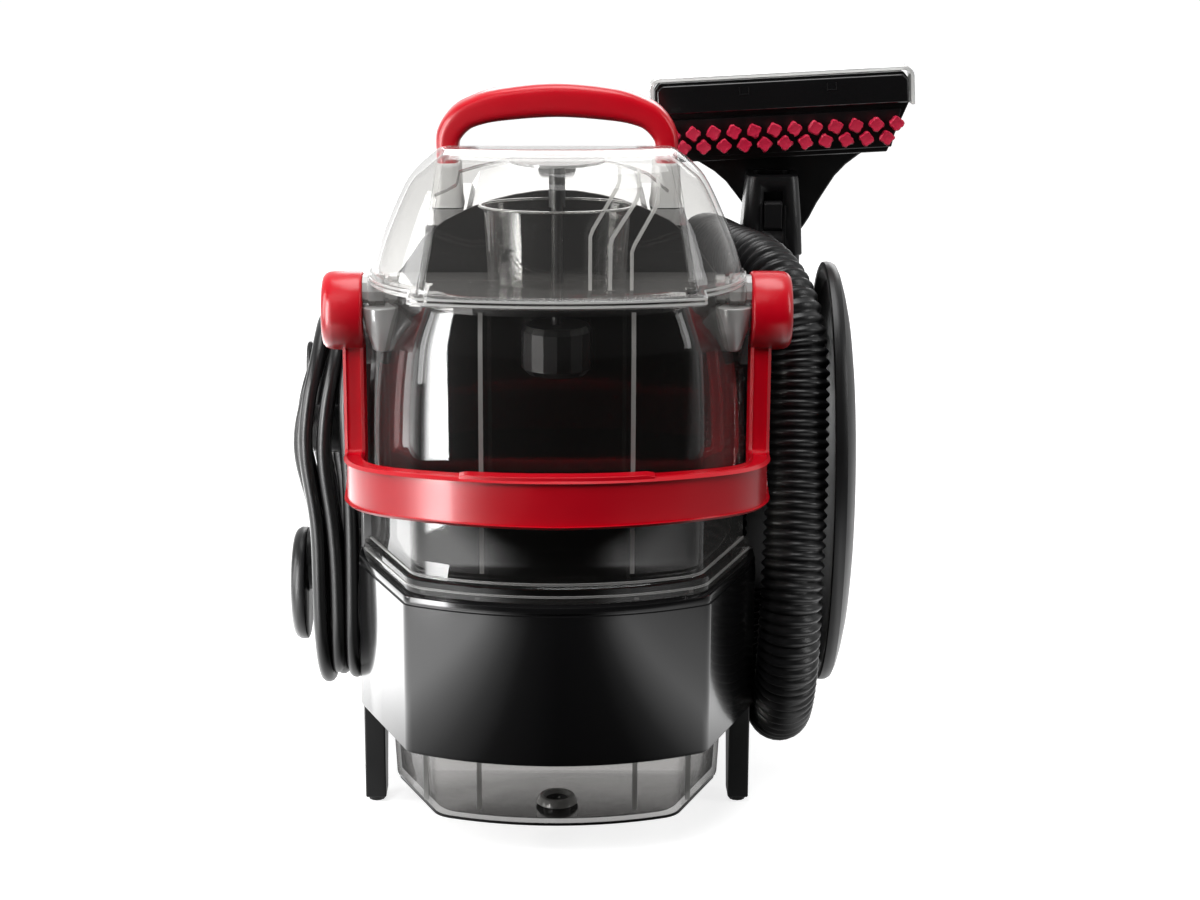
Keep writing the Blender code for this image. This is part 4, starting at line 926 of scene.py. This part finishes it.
def bail_half():
    """The bail's x <= 0 half, as rings of (outer, inner) by (upper or rear, lower or front) corners."""
    deep, bend = 0.01, 0.0128
    rings = []

    def ring(centre, side, up, half_side, half_up):
        soft = 0.0016
        rings.append([
            centre + side * math.copysign(half_side - in_side, u) + up * math.copysign(half_up - in_up, v)
            for u, v, in_side, in_up in ((1, 1, soft, 0), (1, 1, 0, soft), (-1, 1, 0, soft),
                                         (-1, 1, soft, 0), (-1, -1, soft, 0), (-1, -1, 0, soft),
                                         (1, -1, 0, soft), (1, -1, soft, 0))
        ])

    left = Vector((-1, 0, 0))
    for z in (PIVOT.z, 0.255, 0.235, 0.222):
        ring(Vector((-BAIL_ARM, PIVOT.y, z)), left, Vector((0, 1, 0)), BAIL_THIN, deep)
    for step in range(7):
        angle = math.radians(90 * step / 6)
        centre = Vector((-BAIL_ARM, PIVOT.y - bend + bend * math.cos(angle),
                         BAIL_Z + bend - bend * math.sin(angle)))
        half = deep + (BAIL_TALL - deep) * step / 6
        ring(centre, left, Vector((0, math.cos(angle), -math.sin(angle))), BAIL_THIN, half)
    outline = front_curve(BAIL_ARM, BAIL_FRONT, PIVOT.y - bend - 0.0005, BAIL_POWER, 0.1036, 0.0, 26)
    for i, (x, y) in enumerate(outline):
        before, after = around(outline, i)
        along = Vector((before[0] - after[0], -(before[1] - after[1]), 0)).normalized()
        side = Vector((-along.y, along.x, 0))
        if side.y > 0:
            side = -side
        if x < 1e-6:
            side = Vector((0, -1, 0))
        rise = BAIL_RISE * (1 - (x / BAIL_ARM) ** 4)
        ring(Vector((-x, y, BAIL_Z + rise)), side, Vector((0, 0, -1)),
             BAIL_THIN + 0.0006 * (1 - x / BAIL_ARM), BAIL_TALL + 0.0008 * (1 - x / BAIL_ARM))
    return rings


def bail():
    handle = ("red", "bail_body", "red_plastic", ("bail_handle",))
    half = bail_half()
    other = [[Vector((-p.x, p.y, p.z)) for p in ring] for ring in reversed(half[:-1])]
    piece("bail_bar", loft(half + other), *handle, 35)
    pad_outline = front_curve(BAIL_ARM, BAIL_FRONT, -0.1033, BAIL_POWER, 0.0475, 0.0, 12)
    pad = []
    for sign in (-1, 1):
        side = [(sign * x, y) for x, y in pad_outline]
        pad += side if sign < 0 else side[::-1][1:]
    rings = []
    for i, (x, y) in enumerate(pad):
        z = (BAIL_Z + BAIL_RISE * (1 - (x / BAIL_ARM) ** 4) + BAIL_TALL
             + 0.0008 * (1 - abs(x) / BAIL_ARM))
        edge = 0.0008 if i in (0, len(pad) - 1) else 0.0
        top = 0.0013 - edge
        rings.append([Vector((x, y + back, z + up)) for back, up in (
            (-0.0048, -0.001), (-0.0046, top), (0.0036, top), (0.0038, -0.001))])
    piece("bail_pad", loft(rings), *handle, 40, bevel=0.0004)
    for side, sign in (("left", -1), ("right", 1)):
        block = tenths([
            (984, 188), (990, 196), (1000, 200), (1130, 200), (1156, 197), (1174, 188), (1186, 174),
            (1190, 158), (1190, 90), (1180, 82), (1180, 40), (1150, 38)
        ])
        block = [(sign * x, r) for x, r in block]
        piece(f"bail_block_{side}", turned(PIVOT, "X", block, 64), *handle, 40)
        restyle(f"bail_pin_{side}", "steel")


# --- body


def band():
    """The band's shell: one section, inward and up, swept round its front."""
    half = [(BASE_HALF, LEG_FRONT - 0.0003), *faceted_front(BASE_HALF, BAND_FRONT, 0.04, 6, 14)]
    path = [Vector((x, y, 0)) for x, y in half + [(-x, y) for x, y in reversed(half[:-1])]]
    section = tenths([
        (0, 640), (0, 1410), (9, 1414), (9, 1422), (2, 1426), (2, 1446), (4, 1456), (14, 1460),
        (81, 1460), (85, 1456), (85, 1430), (35, 1430), (35, 624), (31, 620), (12, 620), (3, 628)
    ])
    rings = []
    for i, point in enumerate(path):
        before, after = around(path, i)
        first = (point - before).normalized() if i else (after - point).normalized()
        last = (after - point).normalized() if i < len(path) - 1 else first
        tangent = (first + last).normalized()
        inward = Vector((tangent.y, -tangent.x, 0)) / max(0.5, tangent.dot(first))
        rings.append([point + inward * d + Vector((0, 0, z)) for d, z in section])
    piece("band_shell", loft(rings), "gloss_black", "root", "gloss_black", ("front_band",), 28)


def runners():
    """The two side rails, each with a tall post in front."""
    outline = tenths([
        (-700, 33), (-540, 33), (-460, 320), (-360, 380), (1280, 380), (1380, 320), (1460, 33),
        (1820, 33), (1820, 515), (-665, 515), (-665, 1460), (-700, 1460)
    ])
    for side, sign in (("left", -1), ("right", 1)):
        low, high = sorted((sign * 0.0933, sign * BASE_HALF))
        piece(f"rail_{side}", prism(outline, "X", low, high), "satin_black", "root", "satin_black",
              (f"{side}_runner",), bevel=0.0009, segments=3)
        for end in ("front", "rear"):
            restyle(f"foot_{end}_{side}", "rubber", bevel=0.0004)


def housing():
    arch = tenths([
        (880, 503), (880, 2850), (850, 2915), (800, 2970), (690, 3130), (580, 3220), (450, 3285),
        (340, 3325), (220, 3355), (100, 3374), (0, 3380)
    ])
    piece("back_plate", prism(mirrored(arch), "Y", -0.072, -0.069), "deep_black", "root",
          "gloss_black", ("rear_panel",), bevel=0.0005)
    levels = tenths([(503, 6), (510, 0), (2975, 0), (2980, 5), (2980, 30), (503, 30)])
    rings = [rounded_rect(0.068 - d, -0.0687 + d, 0.078 - d, z, 0.008 - d) for z, d in levels]
    piece("housing_wall", loft(rings, closed=True), "deep_black", "root", "gloss_black",
          ("motor_housing",))
    restyle("top_cover", "gloss_black", bevel=0.0005)
    restyle("base_tray", "satin_black", bevel=0.0005)


def handle():
    """The arch is thickest at its crown and slimmest in its two legs."""
    half = 0.0588
    rows = tenths([
        (-588, 3405, 58), (-588, 3430, 58), (-588, 3480, 60), (-578, 3575, 68), (-520, 3655, 74),
        (-440, 3699, 78), (-295, 3736, 87), (0, 3760, 91)
    ])
    rows = smooth_rows(rows + [(-x, z, thick) for x, z, thick in reversed(rows[:-1])], 6)
    rings = []
    for i, (x, z, thick) in enumerate(rows):
        before, after = around(rows, i)
        along = Vector((after[0] - before[0], 0, after[1] - before[1])).normalized()
        outward = Vector((-along.z, 0, along.x))
        rings.append([Vector((x, 0, z)) + outward * u + Vector((0, v, 0))
                      for u, v in squircle(thick, 0.012, 0.5, 36)])
    piece("handle_arch", loft(rings), "red", "root", "red_plastic", ("carry_handle",), 60)
    levels = tenths([(3195, 86, 150), (3240, 78, 142), (3410, 72, 136), (3422, 70, 134), (3430, 64, 128)])
    sockets = [loft([rounded_rect(wide, -deep, deep, z, 0.005, sign * half) for z, wide, deep in levels])
               for sign in (-1, 1)]
    piece("handle_sockets", merge(*sockets), "pale", "root", "grey_plastic", ("carry_handle",))


# --- tool, neck and grip


def tilted(mesh):
    c, s = math.cos(TOOL_TILT), math.sin(TOOL_TILT)
    for vert in mesh.verts:
        x, z = vert.co.x - TOOL.x, vert.co.z - TOOL.z
        vert.co.x = TOOL.x + c * x - s * z
        vert.co.z = TOOL.z + s * x + c * z
    return mesh


def brush_tool():
    """The upright tool: a fan-shaped back, the head with its lip, the tufts and the clear rim."""
    body = "tool_body_group"
    moulded, lipped = (body, "satin_black", ("tool_body",)), (body, "satin_black", ("tool_lip",))
    half, face, back = TOOL_HALF, 0.064, 0.0785

    def plate(outline, low, high):
        return prism([(TOOL.x + a, TOOL.z + b) for a, b in outline], "Y", low, high)

    fan = tenths([
        (100, -720), (130, -682), (160, -640), (205, -560), (260, -480), (315, -402), (380, -340),
        (460, -285), (540, -245), (540, 207)
    ])
    fan += [(-a, b) for a, b in reversed(fan)]
    piece("tool_fan", tilted(plate(fan, 0.0905, 0.0985)), "deep_black", *moulded,
          bevel=0.0012, segments=3)
    head = tenths([
        (-583, -240), (583, -240), (713, 33), (713, 167), (683, 207), (-683, 207), (-713, 167),
        (-713, 33)
    ])
    low_head = tenths([(-583, -240), (583, -240), (713, 33), (713, 80), (-713, 80), (-713, 33)])
    bridge = box((TOOL.x - 0.0525, back - 0.0002, TOOL.z - 0.023),
                 (TOOL.x + 0.0525, 0.0907, TOOL.z + 0.0197))
    wall = [plate(head, face, face + 0.004), plate(head, back - 0.004, back),
            plate(low_head, face + 0.0038, back - 0.0038), bridge]
    piece("tool_head", tilted(merge(*wall)), "deep_black", *moulded, bevel=0.0006)

    lip = tenths([(-703, 38), (703, 38), (703, 167), (673, 197), (-673, 197), (-703, 167)])
    piece("tool_front", tilted(plate(lip, face - 0.006, face - 0.0003)), "gloss_black", *lipped,
          bevel=0.001, segments=3)
    notch = tenths([
        (-28, 172), (-22, 172), (-22, 135), (22, 135), (22, 172), (28, 172), (28, 129), (-28, 129)
    ])
    notches = [plate([(dx + a, b) for a, b in notch], face - 0.0062, face - 0.005)
               for dx in (-0.0215, 0.0275)]
    piece("tool_notches", tilted(merge(*notches)), "satin_black", *lipped)

    strip = tenths([(-605, -210), (605, -210), (665, 3), (-665, 3)])
    piece("brush_base", tilted(plate(strip, face - 0.003, face - 0.0003)), "deep_black", body,
          "satin_black", ("brush_strip",), bevel=0.0005)
    tufts = []
    pitch, pitch_up, low = 0.0114, 0.0077, -0.0146
    levels = tenths([(20, 27), (60, 32), (105, 37), (126, 38), (133, 33), (130, 12)])
    for row, columns in enumerate((11, 12)):
        for column in range(columns):
            cx = TOOL.x + pitch * (column - (columns - 1) / 2)
            cz = TOOL.z + low + pitch_up * row
            turn = random.uniform(-0.35, 0.35)
            rings = []
            for proud, radius in levels:
                ring = []
                for k in range(24):
                    angle = 2 * math.pi * k / 24
                    bulge = 1 + 0.13 * math.cos(4 * angle) + 0.1 * random.uniform(-1, 1)
                    ring.append(Vector((cx + radius * bulge * math.cos(angle + turn), face - proud,
                                        cz + radius * bulge * math.sin(angle + turn))))
                rings.append(ring)
            tufts.append(loft(rings))
    piece("brush_tufts", tilted(merge(*tufts)), "bristle", body, "bristle", ("brush_strip",), 45)

    def rim(grow):
        """The window's outline, open below and rounded at its two upper corners."""
        found, radius = [], 0.003 + grow
        for sign in (-1, 1):
            side = [(sign * (half + grow), 0.0023)]
            for step in range(6):
                angle = math.radians(90 * step / 5)
                side.append((sign * (half + grow - radius + radius * math.cos(angle)),
                             0.0212 + grow - radius + radius * math.sin(angle)))
            found += side if sign < 0 else side[::-1]
        return found

    # The rim's milky clear material is a painted highlight.
    piece("tool_rim", tilted(plate(rim(0.0028) + rim(0.0006)[::-1], face - 0.0045, face + 0.01)),
          "rim_highlight_clear", body, "clear", ("nozzle_window",), bevel=0.0005)


def handpiece():
    x, y = GRIP.x, GRIP.y
    restyle("grip", "satin_black")
    restyle("trigger", "red", bevel=0.0005)
    restyle("trigger_pin", "steel")

    rows = tenths([
        (2803, 172, 152, 8, 60), (2810, 175, 155, 8, 60), (3000, 165, 150, 10, 60),
        (3235, 146, 139, 10, 60), (3252, 141, 134, 10, 60), (3260, 130, 122, 10, 60),
        (3260, 105, 98, 10, 50), (2803, 140, 125, 8, 50)
    ])
    rings = [rounded_rect(wide, y - back - deep, y - back + deep, z, soft, x)
             for z, wide, deep, back, soft in rows]
    neck = piece("neck_tube", loft(rings, closed=True), "satin_black", "root", "satin_black", ("neck",))
    cutter = piece("neck_cutter", box((x - 0.0054, y - 0.02, 0.2947), (x + 0.0054, y - 0.01, 0.3168)),
                   "deep_black", "root")
    hollow = neck.modifiers.new("slot", "BOOLEAN")
    hollow.operation, hollow.solver, hollow.object = "DIFFERENCE", "EXACT", cutter
    bpy.context.view_layer.update()
    graph = bpy.context.evaluated_depsgraph_get()
    cut_mesh = bpy.data.meshes.new_from_object(neck.evaluated_get(graph))
    neck.modifiers.clear()
    neck.data = cut_mesh
    bpy.data.objects.remove(cutter)
    front = y - 0.0152
    latch = tenths([(-10, 2950), (-24, 2965), (-20, 3100), (-2, 3115), (30, 3115), (30, 2950)])
    latch = [(front + back, z) for back, z in latch]
    piece("latch_key", prism(latch, "X", x - 0.0051, x + 0.0051), "satin_black", "latch_body",
          "satin_black", ("latch_button",), bevel=0.0005)
    sides = []
    for sign in (-1, 1):
        line = x + sign * 0.0068
        sides.append(box((line - 0.0005, y - 0.0168, 0.284), (line + 0.0005, y - 0.015, 0.309)))
    piece("neck_lines", merge(*sides), "satin_black", "root", "satin_black", ("neck",), bevel=0.0002)


# --- rack, wrap and rear


def ovals(y, rows):
    """Upright rings at y, from (x, z, half depth, half height) rows in tenths of a millimetre."""
    return [circle((x, y, z), deep, "X", 72, tall) for x, z, deep, tall in tenths(rows)]


def hose_rack():
    hub = ovals(0.01, [
        (1452, 1780, 312, 772), (1450, 1780, 322, 782), (1440, 1780, 334, 794), (1426, 1780, 340, 800),
        (683, 1780, 340, 800), (683, 1780, 310, 770), (1422, 1780, 310, 770)
    ])
    piece("rack_hub", loft(hub), "satin_black", "root", "gloss_black", ("hose_rack_hub",))
    deep, tall = 0.085, 0.1183
    profile = [(0.1605, 0.45), (0.1602, 0.6), (0.159, 0.72), (0.1575, 0.82), (0.1555, 0.9), (0.1535, 0.96),
               (0.152, 0.988), (0.15, 0.998), (0.148, 1.0), (0.146, 0.998), (0.1455, 0.99), (0.1455, 0.96),
               (0.146, 0.952), (0.1495, 0.93), (0.1535, 0.84), (0.156, 0.68), (0.157, 0.42)]
    rings = [circle((x, 0, 0.1686), deep * share, "X", 96, tall * share) for x, share in profile]
    piece("rack_flange", loft(rings), "satin_black", "root", "satin_black", ("hose_rack_flange",))
    restyle("tool_holster", "satin_black", bevel=0.0004)
    restyle("hose_port", "satin_black")


def pod_ring(x, inset, radius):
    low, high, front, rear = 0.072, 0.262, -0.0655, 0.05
    flat = rounded_rect((high - low) / 2 - inset, front + inset, rear - inset, 0, radius, (high + low) / 2)
    return [Vector((x, p.y, p.x)) for p in flat]


def cord_wrap():
    rows = tenths([
        (-1045, 20, 100), (-1043, 10, 110), (-1036, 3, 117), (-1025, 0, 120), (-683, 0, 120),
        (-683, 30, 90), (-1015, 30, 90)
    ])
    piece("pod_shell", loft([pod_ring(*row) for row in rows]), "gloss_black", "root", "gloss_black",
          ("cord_pod",))
    low = ovals(LOOP.y, [
        (-1048, 1215, 170, 170), (-1375, 1215, 170, 170), (-1385, 1205, 178, 178),
        (-1385, 1075, 290, 303), (-1389, 1075, 297, 311), (-1398, 1075, 300, 315),
        (-1425, 1075, 300, 315), (-1446, 1075, 291, 304), (-1459, 1075, 274, 285),
        (-1465, 1075, 252, 262)
    ])
    piece("hook_low", loft(low), "satin_black", "root", "satin_black", ("cord_hook_lower",))
    high = ovals(LOOP.y, [
        (-1048, 1965, 130, 130), (-1335, 1965, 130, 130), (-1335, 2155, 122, 292),
        (-1338, 2155, 128, 298), (-1343, 2155, 130, 300), (-1352, 2155, 128, 298),
        (-1359, 2155, 121, 291), (-1362, 2155, 110, 280)
    ])
    piece("hook_high", loft(high), "satin_black", "hook_body", "satin_black", ("cord_hook_upper",))
    relief = tenths([(503, 82), (507, 85), (555, 85), (562, 78)])
    for ring in range(5):
        start, radius = 0.058 + 0.0047 * ring, 0.0074 - 0.00045 * ring
        relief += [(start + along, radius - less)
                   for along, less in ((0, 0.0012), (0.0006, 0), (0.0027, 0), (0.0033, 0.0012))]
    relief.append((0.0827, 0.0046))
    piece("lead_sleeve", turned(LEAD_ROUTE[0], "Y", relief, 40), "rubber", "root", "rubber",
          ("strain_relief",))


def clean_tank():
    half, front, rear, low, top, wall = 0.066, 0.0815, 0.185, 0.0535, 0.305, 0.0025
    valve = Vector((0, 0.13, 0))

    def hole(radius, z):
        ring = []
        for point in rounded_rect(half, front, rear, z, 0.012):
            spoke = Vector((point.x - valve.x, point.y - valve.y, 0)).normalized() * radius
            ring.append(Vector((valve.x + spoke.x, valve.y + spoke.y, z)))
        return ring

    shoulder = [(low + 0.004, 0, 0, 0.014), (top - 0.03, 0, 0, 0.014), (top - 0.018, 0.0003, 0.0015, 0.014),
                (top - 0.008, 0.0008, 0.0032, 0.014), (top - 0.003, 0.0022, 0.006, 0.014),
                (top, 0.006, 0.01, 0.012)]

    def level(inset, z, soft):
        return rounded_rect(half - inset, front + inset, rear - inset, z, soft)

    outside = [level(0.003, low, 0.012), level(0.001, low + 0.0012, 0.013)]
    for z, side, back, soft in shoulder:
        outside.append(rounded_rect(half - side, front + side, rear - back, z, soft))
    rings = list(reversed(outside)) + [
        hole(0.0155, low), hole(0.0155, 0.0455), hole(0.0125, 0.0455), hole(0.0125, low + wall),
        level(wall + 0.003, low + wall, 0.01), level(wall, low + 0.006, 0.011),
        level(wall, top - 0.031, 0.011),
        rounded_rect(half - 0.008, front + 0.008, rear - 0.012, top - wall, 0.01),
    ]
    tank = ("clean_tank_body", "smoke_clear", ("clean_tank",))
    piece("water_tank", loft(rings), "smoke", *tank, 40)
    ribs = []
    for z in (0.095, 0.135, 0.175, 0.215, 0.255):
        edges = tenths([(0, 1), (12, 1), (12, 16), (0, 16)])
        ribs.append(loft([level(wall + proud, z + up, 0.011) for up, proud in edges], closed=True))
    # The marks' paler clear material is a painted highlight.
    piece("water_marks", merge(*ribs), "edge_highlight_clear", *tank)


def hidden_nodes():
    """CAD nodes whose shape stays, with their finished materials."""
    looks = {
        "steel": ["handle_screw_left", "handle_screw_right", "button_spring", "valve_spring",
                  "vacuum_motor"],
        "grey": ["power_switch", "fan_housing", "pump_body", "inlet_socket", "impeller"],
        "satin_black": ["clean_tank_cap", "valve_poppet"],
        "rubber": ["cap_gasket"],
        "tank_clear": ["pump_tube"],
    }
    for material, names in looks.items():
        for name in names:
            restyle(name, material)
    restyle("power_button", "grey", bevel=0.0004)


def main():
    camera()
    power_cord()
    hose, route = corrugated_hose()
    studio()
    floor()
    recovery_tank()
    tank_lid()
    lid_insides()
    bail()
    band()
    runners()
    housing()
    handle()
    brush_tool()
    handpiece()
    hose_rack()
    cord_wrap()
    clean_tank()
    hidden_nodes()


main()
